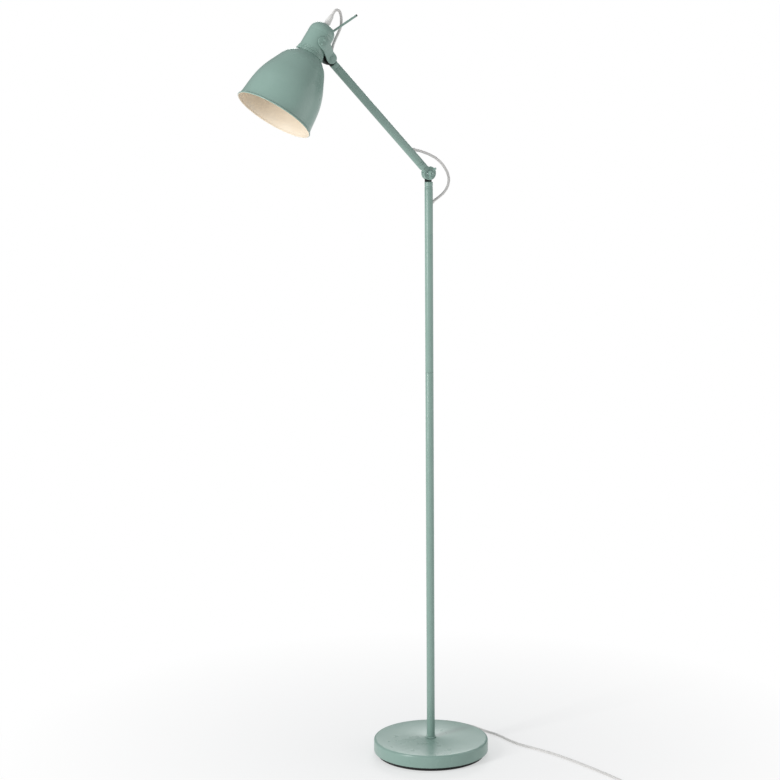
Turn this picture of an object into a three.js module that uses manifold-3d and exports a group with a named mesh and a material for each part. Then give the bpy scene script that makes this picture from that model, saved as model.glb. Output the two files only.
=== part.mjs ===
// Adjustable arm floor lamp: round weighted foot, two-piece pole, one tilting arm, tilting bell shade.
// Millimetres, +Z up. The origin is on the floor at the centre of the foot. The arm swings in the XZ
// plane and carries the head towards -X. The pole's cord hole faces +X.
import * as THREE from 'three';
import { mergeVertices } from 'three/addons/utils/BufferGeometryUtils.js';
import Module from 'manifold-3d';

const wasm = await Module();
wasm.setup();

// ---------------------------------------------------------------- driving dimensions
const clearance = 0.3;

// Sides of the round pieces, from the foot and shade down to rivets and bores.
const sides = { wide: 32, round: 20, tube: 16, small: 12, tiny: 8 };

const base = {
  radius: 115,
  height: 33,
  edge: 6,
  wall: 1.6,
  lipWidth: 11,
  lipThickness: 1.2,
};
const pad = { inset: 7, rimHeight: 7, rimWidth: 8, floorThickness: 3.5 };
const weight = { inset: 12.5, thickness: 12, counterboreRadius: 15, counterboreDepth: 7 };
const stud = { cordGap: 1, wall: 1.4, length: 37 };
const studNut = { acrossFlats: 17, height: 5.4 };
const tube = { radius: 8, wall: 1.5 };
const foot = { collarRadius: 10.5, collarHeight: 2.6, spigotLength: 22 };
const pole = { elbowHeight: 1166.8, seamHeight: 777.3, holeBelow: 55.8, holeClimb: 30 };
const coupler = { length: 80, wall: 1.8 };

const knuckle = {
  discRadius: 13.3,
  discThickness: 5.2,
  eyeRadius: 12,
  eyeThickness: 7.2,
  hubRadius: 8,
  hubWidth: 22,
  lapShoulder: 16.4,
  eyeShoulder: 13,
  collarLength: 13.4,
  spigotLength: 16,
  grooveOffset: 3.6,
  grooveWidth: 0.9,
  grooveDepth: 0.6,
};
const friction = { radius: 12.4, thickness: 1 };
const bolt = { radius: 2.5, headRadius: 6, headHeight: 3 };
const washer = { radius: 6.4, thickness: 1.2 };
const wingNut = {
  hubRadius: 6.2,
  topRadius: 4.8,
  hubHeight: 7,
  span: 12.6,
  wingRise: 11.5,
  wingThickness: 2.4,
  tipRadius: 2.6,
  turn: 60,
};
const lockNut = { acrossFlats: 8.6, height: 4.6 };

const arm = {
  length: 308,
  angle: 45.3,
  elbowHole: 56,
  elbowHoleSlope: 38,
  headHoleLap: 0.1,
  headHoleSlope: 52,
};

const head = { tilt: 34.5, sideGap: 13, pivotRise: 16.8 };
const shade = { rimRadius: 76, wall: 1.2, neckMargin: 3.5, height: 131, holeGap: 0.8 };
const collarRing = { overhang: 0.4, height: 2.6 };
const cap = { holderGap: 4, wall: 1.4, flare: 2.2, straight: 44.5, height: 63.5, topRadius: 9.5 };
const holder = {
  radius: 19.6,
  bore: 13.9,
  below: 19,
  length: 62,
  endPlate: 8,
  shellWall: 0.5,
  shellLength: 24,
};
const holderRing = { wall: 4.1, height: 7 };
const contact = { radius: 4.5, height: 2.2 };
const handle = { radius: 2.15, inside: 14.4, outside: 62, lean: 25, domeTurn: 61 };
const yoke = {
  thickness: 2,
  halfWidth: 10.3,
  rootGap: 0.7,
  foldGap: 0.4,
  foldWidth: 0.8,
  flatReach: 5.6,
  rootRise: 26.8,
};
const rivet = { radius: 1.5, headRadius: 3, headHeight: 1.4, pitch: 9 };
const pivotHead = { radius: 4.6, height: 2.2 };

// The wall of a strain relief round its bore, at its root and at its tip.
const reliefTop = { rootWall: 3.5, tipWall: 0.6, length: 23, flangeWall: 4.5, flangeHeight: 2 };

const cord = { radius: 2.6, sides: 8 };
const bush = { rootWall: 2.7, tipWall: 0.8, outside: 26, flangeWall: 2, height: 14, azimuth: 45 };
const sleeve = { wall: 0.8, length: 7 };
const coil = { meanRadius: 29, halfWidth: 8.2, height: 15.4, lift: 1.4, x: 150, y: -466 };
const tie = { width: 9, thickness: 1 };
const footSwitch = { length: 68, width: 44, height: 22, wall: 2.2, x: 227, y: -447, split: 9 };
const pedal = { radius: 13, height: 9, sunk: 4, travel: 3 };
const contactBlock = { width: 16, length: 22 };
const plug = {
  length: 36,
  width: 34,
  thickness: 13,
  edge: 1.5,
  pinRadius: 2,
  pinLength: 19,
  pinRoot: 9,
  pinPitch: 18.6,
  x: 110,
  tailY: -430,
};
const switchRelief = { length: 20, rootWall: 2.1, tipWall: 0.7, stemWall: 1.1 };

// ---------------------------------------------------------------- materials
function finish(color, roughness, metalness) {
  return () => new THREE.MeshStandardMaterial({ color, roughness, metalness });
}
const greenPaint = finish('#93aba0', 0.42, 0);
const shadePaint = finish('#8fa89d', 0.5, 0);
const blackRubber = finish('#161616', 0.85, 0);
const castIron = finish('#3c3d3f', 0.8, 0.6);
const zincSteel = finish('#b9bcbe', 0.35, 1);
const whitePlastic = finish('#e9e9e6', 0.45, 0);
const blackPlastic = finish('#242424', 0.5, 0);
const brass = finish('#c8a45c', 0.3, 1);
const whiteCord = finish('#d9d8d6', 0.55, 0);
const nylon = finish('#d4cfc2', 0.5, 0);

// ---------------------------------------------------------------- solid helpers
const degrees = Math.PI / 180;

// Turns a closed geometry into a solid: shared corners merged, collapsed triangles dropped, faces out.
function solidOf(geometry) {
  const bare = geometry.clone();
  bare.deleteAttribute('normal');
  bare.deleteAttribute('uv');
  const merged = mergeVertices(bare, 1e-4);
  const source = merged.index.array;
  const kept = [];
  for (let i = 0; i < source.length; i += 3) {
    const [a, b, c] = [source[i], source[i + 1], source[i + 2]];
    if (a !== b && b !== c && a !== c) kept.push(a, b, c);
  }
  const position = merged.attributes.position;
  if (signedVolume(position, kept) < 0) kept.reverse();
  return new wasm.Manifold(new wasm.Mesh({
    numProp: 3,
    vertProperties: new Float32Array(position.array),
    triVerts: new Uint32Array(kept),
  }));
}

function signedVolume(position, triangles) {
  const [a, b, c] = [new THREE.Vector3(), new THREE.Vector3(), new THREE.Vector3()];
  let total = 0;
  for (let i = 0; i < triangles.length; i += 3) {
    a.fromBufferAttribute(position, triangles[i]);
    b.fromBufferAttribute(position, triangles[i + 1]);
    c.fromBufferAttribute(position, triangles[i + 2]);
    total += a.dot(b.cross(c));
  }
  return total;
}

function geometryOf(solid) {
  const mesh = solid.getMesh();
  const geometry = new THREE.BufferGeometry();
  geometry.setAttribute('position', new THREE.BufferAttribute(mesh.vertProperties, 3));
  geometry.setIndex(new THREE.BufferAttribute(mesh.triVerts, 1));
  return geometry;
}

// A body of revolution about Z from [radius, height] pairs.
function turned(profile, segments) {
  const points = profile.map(([r, z]) => new THREE.Vector2(r, z));
  return solidOf(new THREE.LatheGeometry(points, segments).rotateX(Math.PI / 2));
}

// A ring or tube between two radii and two heights.
function ring(inner, outer, low, high, segments) {
  return turned([[inner, low], [outer, low], [outer, high], [inner, high], [inner, low]], segments);
}

function disc(radius, low, high, segments) {
  return turned([[0, low], [radius, low], [radius, high], [0, high]], segments);
}

function block(sizeX, sizeY, sizeZ, x, y, z) {
  return solidOf(new THREE.BoxGeometry(sizeX, sizeY, sizeZ).translate(x, y, z));
}

// Turns a solid that was made along +Z so that it lies along +Y.
function alongY(solid) {
  return solid.rotate([-90, 0, 0]);
}

// A rod along Y at the origin between two values of Y.
function rodY(radius, from, to, segments) {
  return alongY(disc(radius, from, to, segments));
}

function hexNut(acrossFlats, bore, low, high) {
  const hole = disc(bore, low - 1, high + 1, sides.small);
  return disc(acrossFlats / Math.sqrt(3), low, high, 6).subtract(hole);
}

// Points of a quarter ellipse from [outer radius, low height] in to [inner radius, high height].
function shoulder(outer, low, inner, high, steps) {
  const points = [];
  for (let i = 0; i <= steps; i += 1) {
    const turn = (i / steps) * Math.PI / 2;
    points.push([inner + (outer - inner) * Math.cos(turn), low + (high - low) * Math.sin(turn)]);
  }
  return points;
}

// A round cord through hand-chosen points. Each span between two points gets the same number of steps,
// so that close points make a fine bend and far ones a plain straight run.
function cordSolid(points, stepsPerSpan) {
  const curve = new THREE.CatmullRomCurve3(points.map(([x, y, z]) => new THREE.Vector3(x, y, z)));
  curve.getUtoTmapping = (u) => u;
  const section = new THREE.Shape();
  for (let i = 0; i < cord.sides; i += 1) {
    const turn = (i / cord.sides) * Math.PI * 2;
    const [x, y] = [cord.radius * Math.cos(turn), cord.radius * Math.sin(turn)];
    if (i === 0) section.moveTo(x, y);
    else section.lineTo(x, y);
  }
  section.closePath();
  const steps = stepsPerSpan * (points.length - 1);
  return solidOf(new THREE.ExtrudeGeometry(section, { steps, extrudePath: curve, bevelEnabled: false }));
}

const cordBore = cord.radius + clearance;

// A tapered strain relief along +Z with a bore for the cord.
function taperedRelief(rootWall, tipWall, length) {
  const bore = cordBore;
  const rootRadius = bore + rootWall;
  const tipRadius = bore + tipWall;
  return turned([
    [bore, 0],
    [rootRadius, 0],
    [rootRadius, length * 0.12],
    [rootRadius * 0.55 + tipRadius * 0.45, length * 0.45],
    [tipRadius, length],
    [bore, length],
    [bore, 0],
  ], sides.small);
}

const lamp = new THREE.Group();
const armGroup = new THREE.Group();
const headGroup = new THREE.Group();
const armLean = 90 - arm.angle;
armGroup.position.set(0, 0, pole.elbowHeight);
armGroup.rotation.y = -armLean * degrees;
headGroup.position.set(0, 0, arm.length);
headGroup.rotation.y = (head.tilt + armLean) * degrees;
lamp.add(armGroup);
armGroup.add(headGroup);

function add(name, solid, material, parent = lamp) {
  const mesh = new THREE.Mesh(geometryOf(solid), material());
  mesh.name = name;
  parent.add(mesh);
  return mesh;
}

// ---------------------------------------------------------------- foot
const coverBottom = pad.rimHeight + clearance;
const coverInside = base.height - base.wall;
const weightTop = coverInside - clearance;
const weightBottom = weightTop - weight.thickness;
const studBottom = weightBottom;
const studTop = studBottom + stud.length;
const studBore = cord.radius + stud.cordGap;
const studRadius = studBore + stud.wall;
const studHole = studRadius + clearance;
const padRadius = base.radius - pad.inset;
const bushRoot = cordBore + bush.rootWall;

function bushPlace(solid) {
  return solid.rotate([0, 90, 0]).rotate([0, 0, bush.azimuth]).translate([0, 0, bush.height]);
}

function baseCover() {
  const inner = base.radius - base.wall;
  const innerEdge = base.edge - base.wall;
  const inside = shoulder(inner, coverInside - innerEdge, inner - innerEdge, coverInside, 3).reverse();
  const shell = turned([
    [studHole, base.height],
    [studHole, coverInside],
    ...inside,
    [inner, coverBottom + base.lipThickness],
    [base.radius - base.lipWidth, coverBottom + base.lipThickness],
    [base.radius - base.lipWidth, coverBottom],
    [base.radius - 1, coverBottom],
    [base.radius, coverBottom + 1],
    ...shoulder(base.radius, base.height - base.edge, base.radius - base.edge, base.height, 4),
    [studHole, base.height],
  ], sides.wide);
  const hole = disc(bushRoot + clearance, base.radius - 8, base.radius + 8, sides.small);
  return shell.subtract(bushPlace(hole));
}

function basePad() {
  const rimInner = padRadius - pad.rimWidth;
  return turned([
    [0, 0],
    [padRadius - 1, 0],
    [padRadius, 1],
    [padRadius, pad.rimHeight],
    [rimInner, pad.rimHeight],
    [rimInner, pad.floorThickness],
    [0, pad.floorThickness],
  ], sides.wide);
}

function baseWeight() {
  const counterboreTop = weightBottom + weight.counterboreDepth;
  return ring(studHole, base.radius - weight.inset, weightBottom, weightTop, sides.wide)
    .subtract(disc(weight.counterboreRadius, weightBottom - 1, counterboreTop, sides.round));
}

function baseBush() {
  const inner = base.radius - base.wall - clearance;
  const flange = ring(cordBore, cordBore + bush.flangeWall, inner - 6, base.radius, sides.small);
  const outside = taperedRelief(bush.rootWall, bush.tipWall, bush.outside + 1);
  return bushPlace(flange.add(outside.translate([0, 0, base.radius - 1])));
}

add('base_cover', baseCover(), greenPaint);
add('base_pad', basePad(), blackRubber);
add('base_weight', baseWeight(), castIron);
add('base_stud', ring(studBore, studRadius, studBottom, studTop, sides.small), zincSteel);
const nutTop = weightBottom + weight.counterboreDepth - clearance;
add('base_stud_nut', hexNut(studNut.acrossFlats, studHole, nutTop - studNut.height, nutTop), zincSteel);
add('base_cord_bush', baseBush(), whitePlastic);

// ---------------------------------------------------------------- pole
const tubeBore = tube.radius - tube.wall;
const spigotRadius = tubeBore - clearance;
const footBottom = base.height + clearance;
const footTop = footBottom + foot.collarHeight;

function poleFoot() {
  return ring(studHole, foot.collarRadius, footBottom, footTop, sides.tube)
    .add(ring(studHole, spigotRadius, footTop - 1, footTop + foot.spigotLength, sides.tube));
}

const lapTubeStart = knuckle.lapShoulder + knuckle.collarLength + clearance;
const eyeTubeStart = knuckle.eyeShoulder + knuckle.collarLength + clearance;
const upperPoleTop = pole.elbowHeight - lapTubeStart;
const poleHole = pole.elbowHeight - pole.holeBelow;
const sleeveRadius = cordBore + sleeve.wall;
const holeRadius = sleeveRadius + clearance;
const sleeveReach = 2;

// The pole's cord hole leans up and out, as the cord leaves it.
function poleHolePlace(solid) {
  return solid.rotate([0, 90 - pole.holeClimb, 0]).translate([tube.radius, 0, poleHole]);
}

function cordSleeve() {
  return ring(cordBore, sleeveRadius, sleeveReach - sleeve.length, sleeveReach, sides.small);
}

function upperPole() {
  const shell = ring(tubeBore, tube.radius, pole.seamHeight + clearance, upperPoleTop, sides.tube);
  return shell.subtract(poleHolePlace(disc(holeRadius + clearance, -6, 8, sides.small)));
}

add('pole_foot', poleFoot(), greenPaint);
const lowerPole = ring(tubeBore, tube.radius, footTop + clearance, pole.seamHeight, sides.tube);
add('lower_pole', lowerPole, greenPaint);
const couplerLow = pole.seamHeight - coupler.length / 2;
const couplerHigh = pole.seamHeight + coupler.length / 2;
const couplerTube = ring(spigotRadius - coupler.wall, spigotRadius, couplerLow, couplerHigh, sides.tube);
add('pole_coupler', couplerTube, zincSteel);
add('upper_pole', upperPole(), greenPaint);
add('pole_cord_sleeve', poleHolePlace(cordSleeve()), whitePlastic);

// ---------------------------------------------------------------- joint fittings
const boltHole = bolt.radius + clearance;
const lapInner = friction.thickness / 2 + clearance;
const lapOuter = lapInner + knuckle.discThickness;

// The turned root of a fitting, below its shoulder, with a groove round the collar.
function fittingRoot(shoulderDistance) {
  const top = -shoulderDistance;
  const bottom = top - knuckle.collarLength;
  const groove = bottom + knuckle.grooveOffset;
  const waist = tube.radius - knuckle.grooveDepth;
  return turned([
    [0, bottom - knuckle.spigotLength],
    [spigotRadius, bottom - knuckle.spigotLength],
    [spigotRadius, bottom],
    [tube.radius, bottom],
    [tube.radius, groove],
    [waist, groove],
    [waist, groove + knuckle.grooveWidth],
    [tube.radius, groove + knuckle.grooveWidth],
    [tube.radius, top - 0.6],
    [tube.radius - 0.6, top],
    [0, top],
  ], sides.tube);
}

// A drill along Y that is longer than any joint is thick.
function pivotDrill() {
  return rodY(boltHole, -40, 40, sides.small);
}

// The neck between a fitting's round root and its disc: a slice of the same bar, as wide as the root.
function flatNeck(thickness, middle, shoulderDistance) {
  const bar = disc(tube.radius - clearance, -shoulderDistance - 1, -tube.radius, sides.tube);
  const slice = block(2 * tube.radius, thickness, shoulderDistance, 0, middle, -shoulderDistance / 2 - 2);
  return bar.intersect(slice);
}

// A fitting whose disc takes one half of a lap joint; its tube runs towards -Z from the pivot.
function lapFitting(side) {
  const middle = side * (lapInner + lapOuter) / 2;
  const neck = flatNeck(knuckle.discThickness, middle, knuckle.lapShoulder);
  const from = Math.min(side * lapInner, side * lapOuter);
  const plate = rodY(knuckle.discRadius, from, from + knuckle.discThickness, sides.round);
  return fittingRoot(knuckle.lapShoulder).add(neck).add(plate).subtract(pivotDrill());
}

// A fitting with one eye in the middle plane. Its hub is held between the two cheeks of the head's yoke.
function eyeFitting() {
  const half = knuckle.eyeThickness / 2;
  const neck = flatNeck(knuckle.eyeThickness, 0, knuckle.eyeShoulder);
  const plate = rodY(knuckle.eyeRadius, -half, half, sides.round);
  const hub = rodY(knuckle.hubRadius, -knuckle.hubWidth / 2, knuckle.hubWidth / 2, sides.tube);
  return fittingRoot(knuckle.eyeShoulder).add(neck).add(plate).add(hub).subtract(pivotDrill());
}

add('pole_knuckle', lapFitting(1).translate([0, 0, pole.elbowHeight]), greenPaint);

const washerTop = -lapOuter - clearance;
const nutFoot = washerTop - washer.thickness - clearance;

function elbowBolt() {
  const under = lapOuter + clearance;
  const top = under + bolt.headHeight;
  const crown = shoulder(bolt.headRadius, under + 1, 1, top, 4);
  const carriageHead = turned([[0, under], [bolt.headRadius, under], ...crown, [0, top]], sides.tube);
  const shank = rodY(bolt.radius, nutFoot - wingNut.hubHeight - 2, under + 1, sides.small);
  return alongY(carriageHead).add(shank);
}

function elbowWasher() {
  return alongY(ring(boltHole, washer.radius, washerTop - washer.thickness, washerTop, sides.round));
}

// Hub and two upswept rounded wings, made along +Z and then turned to point at -Y.
function elbowWingNut() {
  const hub = turned([
    [0, 0],
    [wingNut.hubRadius, 0],
    [wingNut.hubRadius, 1.4],
    [wingNut.topRadius, wingNut.hubHeight],
    [0, wingNut.hubHeight],
  ], sides.tube);
  const tipX = wingNut.span - wingNut.tipRadius;
  const tipZ = wingNut.wingRise - wingNut.tipRadius;
  const outline = new THREE.Shape();
  outline.moveTo(1, 1.2);
  outline.lineTo(wingNut.hubRadius, 1.2);
  outline.quadraticCurveTo(wingNut.span * 0.9, 2.2, wingNut.span, tipZ);
  outline.absarc(tipX, tipZ, wingNut.tipRadius, 0, Math.PI * 0.8, false);
  outline.quadraticCurveTo(wingNut.topRadius + 1.4, wingNut.hubHeight, 1, wingNut.hubHeight - 0.8);
  outline.closePath();
  const plate = new THREE.ExtrudeGeometry(outline, {
    depth: wingNut.wingThickness,
    bevelEnabled: false,
    curveSegments: 5,
  }).translate(0, 0, -wingNut.wingThickness / 2).rotateX(Math.PI / 2);
  const wing = solidOf(plate);
  const thread = disc(boltHole, -1, wingNut.hubHeight + 1, sides.small);
  const whole = hub.add(wing).add(wing.rotate([0, 0, 180])).subtract(thread);
  return whole.rotate([90, 0, 0]).rotate([0, -wingNut.turn, 0]).translate([0, nutFoot, 0]);
}

function frictionDisc() {
  const half = friction.thickness / 2;
  return alongY(ring(boltHole, friction.radius, -half, half, sides.round));
}

const elbowParts = [
  ['elbow_bolt', elbowBolt(), zincSteel],
  ['elbow_friction_disc', frictionDisc(), nylon],
  ['elbow_washer', elbowWasher(), zincSteel],
  ['elbow_wing_nut', elbowWingNut(), greenPaint],
];
for (const [name, solid, material] of elbowParts) {
  add(name, solid.translate([0, 0, pole.elbowHeight]), material);
}

// ---------------------------------------------------------------- arm
const armTubeEnd = arm.length - eyeTubeStart;

// The head-side hole comes as near as it can to the spigot that is inside the tube's end.
const spigotEnd = arm.length - eyeTubeStart + clearance - knuckle.spigotLength;
const armHeadHole = spigotEnd - sleeveRadius + arm.headHoleLap;

// The elbow-side hole is on the arm's back (+X of the arm) and slopes in towards the head.
function armElbowHolePlace(solid) {
  return solid.rotate([0, 180 - arm.elbowHoleSlope, 0]).translate([tube.radius, 0, arm.elbowHole]);
}

// The head-side hole is on the far side (+Y) and slopes in towards the elbow.
function armHeadHolePlace(solid) {
  return solid.rotate([-arm.headHoleSlope, 0, 0]).translate([0, tube.radius, armHeadHole]);
}

function armTube() {
  const drill = disc(holeRadius + clearance, -6, 8, sides.small);
  return ring(tubeBore, tube.radius, lapTubeStart, armTubeEnd, sides.tube)
    .subtract(armElbowHolePlace(drill))
    .subtract(armHeadHolePlace(drill));
}

add('arm_lower_knuckle', lapFitting(-1).rotate([0, 180, 0]), greenPaint, armGroup);
add('arm_tube', armTube(), greenPaint, armGroup);
add('arm_upper_knuckle', eyeFitting().translate([0, 0, arm.length]), greenPaint, armGroup);
add('arm_elbow_sleeve', armElbowHolePlace(cordSleeve()), whitePlastic, armGroup);
add('arm_head_sleeve', armHeadHolePlace(cordSleeve()), whitePlastic, armGroup);

// ---------------------------------------------------------------- head
// The head is laid out from the rim of its shade: the axis is X = Y = 0 and the rim is Z = 0.
const capRadius = holder.radius + cap.holderGap + cap.wall;
const neckRadius = holder.radius + clearance + holderRing.wall + shade.neckMargin;
const ringBottom = shade.height + clearance;
const capBottom = ringBottom + collarRing.height + clearance;
const capTop = capBottom + cap.height;
const capStraight = capBottom + cap.straight;
const pivotSide = capRadius + head.sideGap;
const pivotAbove = capBottom + head.pivotRise;
const rivetsAbove = capBottom + yoke.rootRise;

function headPlace(solid) {
  return solid.translate([-pivotSide, 0, -pivotAbove]);
}

function addHead(name, solid, material) {
  add(name, headPlace(solid), material, headGroup);
}

// Outer profile of the bell as [share of its height, share of its rim's radius].
const bell = [
  [0.026, 0.974],
  [0.107, 0.954],
  [0.267, 0.928],
  [0.42, 0.885],
  [0.573, 0.806],
  [0.725, 0.69],
  [0.855, 0.582],
  [0.916, 0.508],
  [0.962, 0.43],
];

const rivetPlaces = [-0.5, 0.5].map((share) => [0, rivetsAbove + share * rivet.pitch]);

function rivetHoles() {
  const drill = rodY(rivet.radius + clearance, -60, 60, sides.tiny);
  const [low, high] = rivetPlaces.map(([x, z]) => drill.translate([x, 0, z]));
  return low.add(high);
}

const shadeHole = holder.radius + shade.holeGap;

function shadeShell() {
  const outer = bell.map(([rise, spread]) => [spread * shade.rimRadius, rise * shade.height]);
  const drop = shade.wall * 0.8;
  const inner = outer.map(([radius, height]) => [radius - shade.wall, height - drop]).reverse();
  const top = shade.height;
  return turned([
    [shade.rimRadius - shade.wall, 0],
    [shade.rimRadius, 0],
    [shade.rimRadius + 0.3, 1.2],
    ...outer,
    [neckRadius, top - 0.4],
    [neckRadius - 1, top],
    [shadeHole, top],
    [shadeHole, top - shade.wall],
    [neckRadius - 1.4, top - shade.wall],
    ...inner,
    [shade.rimRadius - shade.wall, 0],
  ], sides.wide);
}

const reliefRoot = cordBore + reliefTop.rootWall;

function capShell() {
  const inner = capRadius - cap.wall;
  const relief = reliefRoot + clearance;
  const flareRadius = capRadius + cap.flare;
  const shell = turned([
    [inner, capBottom],
    [flareRadius, capBottom],
    [flareRadius, capBottom + 2.6],
    [flareRadius - 1.5, capBottom + 3.6],
    [flareRadius - 0.6, capBottom + 5],
    [capRadius, capBottom + 10],
    ...shoulder(capRadius, capStraight, cap.topRadius, capTop, 5),
    [relief, capTop],
    [relief, capTop - cap.wall],
    ...shoulder(inner, capStraight, cap.topRadius, capTop - cap.wall, 5).reverse(),
    [inner, capBottom],
  ], sides.round);
  const handleHole = disc(handle.radius + clearance, -20, 20, sides.tiny);
  return shell.subtract(handlePlace(handleHole)).subtract(rivetHoles());
}

// The handle goes through the dome at this point of its outside.
const domeTurn = handle.domeTurn * degrees;
const handleSide = cap.topRadius + (capRadius - cap.topRadius) * Math.cos(domeTurn);
const handleAbove = capStraight + (capTop - capStraight) * Math.sin(domeTurn);

function handlePlace(solid) {
  return solid.rotate([0, handle.lean, 0]).translate([handleSide, 0, handleAbove]);
}

function handleRod() {
  const end = handle.outside;
  const rod = disc(handle.radius, -handle.inside, end - 1, sides.tiny);
  const tip = turned([[0, end - 1], ...shoulder(handle.radius, end - 1, 0, end, 2)], sides.tiny);
  return handlePlace(rod.add(tip));
}

const holderStart = shade.height - holder.below;
const holderTop = holderStart + holder.length;

function lampHolder() {
  return turned([
    [holder.bore, holderStart],
    [holder.radius - 0.8, holderStart],
    [holder.radius, holderStart + 1],
    [holder.radius, holderTop - 8],
    [holder.radius - 4, holderTop],
    [cordBore, holderTop],
    [cordBore, holderTop - holder.endPlate],
    [holder.bore, holderTop - holder.endPlate],
    [holder.bore, holderStart],
  ], sides.round);
}

const shellTop = holderTop - holder.endPlate - clearance;
const shellOuter = holder.bore - clearance;

function screwShell() {
  const inner = shellOuter - holder.shellWall;
  return ring(inner, shellOuter, shellTop - holder.shellLength, shellTop, sides.round);
}

function fixingRing() {
  const top = shade.height - shade.wall - clearance;
  const inner = holder.radius + clearance;
  return ring(inner, inner + holderRing.wall, top - holderRing.height, top, sides.round);
}

function collar() {
  const radius = neckRadius + collarRing.overhang;
  return ring(holder.radius + clearance, radius, ringBottom, ringBottom + collarRing.height, sides.wide);
}

addHead('shade', shadeShell(), shadePaint);
addHead('shade_collar_ring', collar(), greenPaint);
addHead('lampholder_cap', capShell(), greenPaint);
addHead('lampholder_body', lampHolder(), whitePlastic);
addHead('lampholder_ring', fixingRing(), whitePlastic);
addHead('lampholder_screw_shell', screwShell(), brass);
const contactDisc = disc(contact.radius, shellTop - contact.height, shellTop, sides.small);
addHead('lampholder_contact', contactDisc, brass);
addHead('handle_rod', handleRod(), greenPaint);

function capRelief() {
  const seat = capTop - cap.wall - clearance;
  const flangeRadius = cordBore + reliefTop.flangeWall;
  const flange = ring(cordBore, flangeRadius, seat - reliefTop.flangeHeight, seat, sides.small);
  const neck = ring(cordBore, reliefRoot, seat - 1, capTop + 1, sides.small);
  const taper = taperedRelief(reliefTop.rootWall, reliefTop.tipWall, reliefTop.length);
  return flange.add(neck).add(taper.translate([0, 0, capTop]));
}

addHead('cap_strain_relief', capRelief(), whitePlastic);

// The yoke's two cheeks lie on the cap's near and far sides and close in on the hub of the arm's eye.
const cheekInner = knuckle.hubWidth / 2 + clearance;
const cheekOuter = cheekInner + yoke.thickness;
const cheekRoot = capRadius + yoke.rootGap;

// Each cheek folds in at this reach, so that its slope of about 45 degrees passes clear of the cap.
const foldReach = Math.SQRT2 * (capRadius + yoke.foldGap) - cheekRoot;

function yokeCheek(side) {
  const reach = pivotSide;
  const bendX = reach - yoke.flatReach;
  const outside = [
    [-14, cheekRoot + yoke.thickness],
    [foldReach + yoke.foldWidth, cheekRoot + yoke.thickness],
    [bendX + yoke.foldWidth, cheekOuter],
    [reach + 14, cheekOuter],
  ];
  const inside = [
    [reach + 14, cheekInner],
    [bendX, cheekInner],
    [foldReach, cheekRoot],
    [-14, cheekRoot],
  ];
  const plan = new THREE.Shape([...outside, ...inside].map(([x, y]) => new THREE.Vector2(x, side * y)));
  const strip = solidOf(new THREE.ExtrudeGeometry(plan, { depth: 60, bevelEnabled: false })
    .translate(0, 0, pivotAbove - 30));
  const pivotHole = pivotDrill().translate([pivotSide, 0, pivotAbove]);
  return strip.intersect(yokeOutline()).subtract(rivetHoles()).subtract(pivotHole);
}

// Side outline of a cheek: a bar with round ends from the cap's rivets to the pivot.
function yokeOutline() {
  const start = new THREE.Vector2(0, rivetsAbove);
  const end = new THREE.Vector2(pivotSide, pivotAbove);
  const lean = Math.atan2(end.y - start.y, end.x - start.x);
  const outline = new THREE.Shape();
  outline.absarc(start.x, start.y, yoke.halfWidth, lean + Math.PI / 2, lean - Math.PI / 2, false);
  outline.absarc(end.x, end.y, yoke.halfWidth, lean - Math.PI / 2, lean + Math.PI / 2, false);
  outline.closePath();
  const bar = new THREE.ExtrudeGeometry(outline, { depth: 120, bevelEnabled: false, curveSegments: 8 });
  return solidOf(bar.rotateX(Math.PI / 2).translate(0, 60, 0));
}

function yokeRivet(side, x, z) {
  const outer = cheekRoot + yoke.thickness + clearance;
  const inner = capRadius - cap.wall - clearance * 2;
  const body = turned([
    [0, inner - 1],
    [rivet.radius + 0.9, inner - 1],
    [rivet.radius + 0.9, inner],
    [rivet.radius, inner],
    [rivet.radius, outer],
    ...shoulder(rivet.headRadius, outer, 0, outer + rivet.headHeight, 2),
  ], sides.tiny);
  return alongY(body).rotate([0, 0, side > 0 ? 0 : 180]).translate([x, 0, z]);
}

for (const [label, side] of [['near', -1], ['far', 1]]) {
  addHead(`yoke_cheek_${label}`, yokeCheek(side), greenPaint);
  rivetPlaces.forEach(([x, z], index) => {
    addHead(`yoke_rivet_${label}_${index + 1}`, yokeRivet(side, x, z), greenPaint);
  });
}

function headPivotBolt() {
  const under = -cheekOuter - clearance;
  const { radius, height } = pivotHead;
  const crown = shoulder(radius, 0.8, 1, height, 3);
  const dome = turned([[0, 0], [radius, 0], ...crown, [0, height]], sides.tube);
  const shank = rodY(bolt.radius, under - 0.5, cheekOuter + lockNut.height + 3, sides.small);
  return alongY(dome).rotate([0, 0, 180]).translate([0, under, 0]).add(shank);
}

const headNutFoot = cheekOuter + clearance;
add('head_pivot_bolt', headPivotBolt(), greenPaint, headGroup);
const pivotNut = hexNut(lockNut.acrossFlats, boltHole, headNutFoot, headNutFoot + lockNut.height);
add('head_pivot_nut', alongY(pivotNut), zincSteel, headGroup);

// ---------------------------------------------------------------- cord
const bushTip = base.radius + bush.outside + clearance;
const bushDirection = [Math.cos(bush.azimuth * degrees), Math.sin(bush.azimuth * degrees)];

function offBase(distance, height) {
  return [bushDirection[0] * distance, bushDirection[1] * distance, height];
}

// A point on the axis of the pole's cord hole, outwards from the tube's wall.
function offPole(distance) {
  const climb = pole.holeClimb * degrees;
  return [tube.radius + Math.cos(climb) * distance, 0, poleHole + Math.sin(climb) * distance];
}

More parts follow.
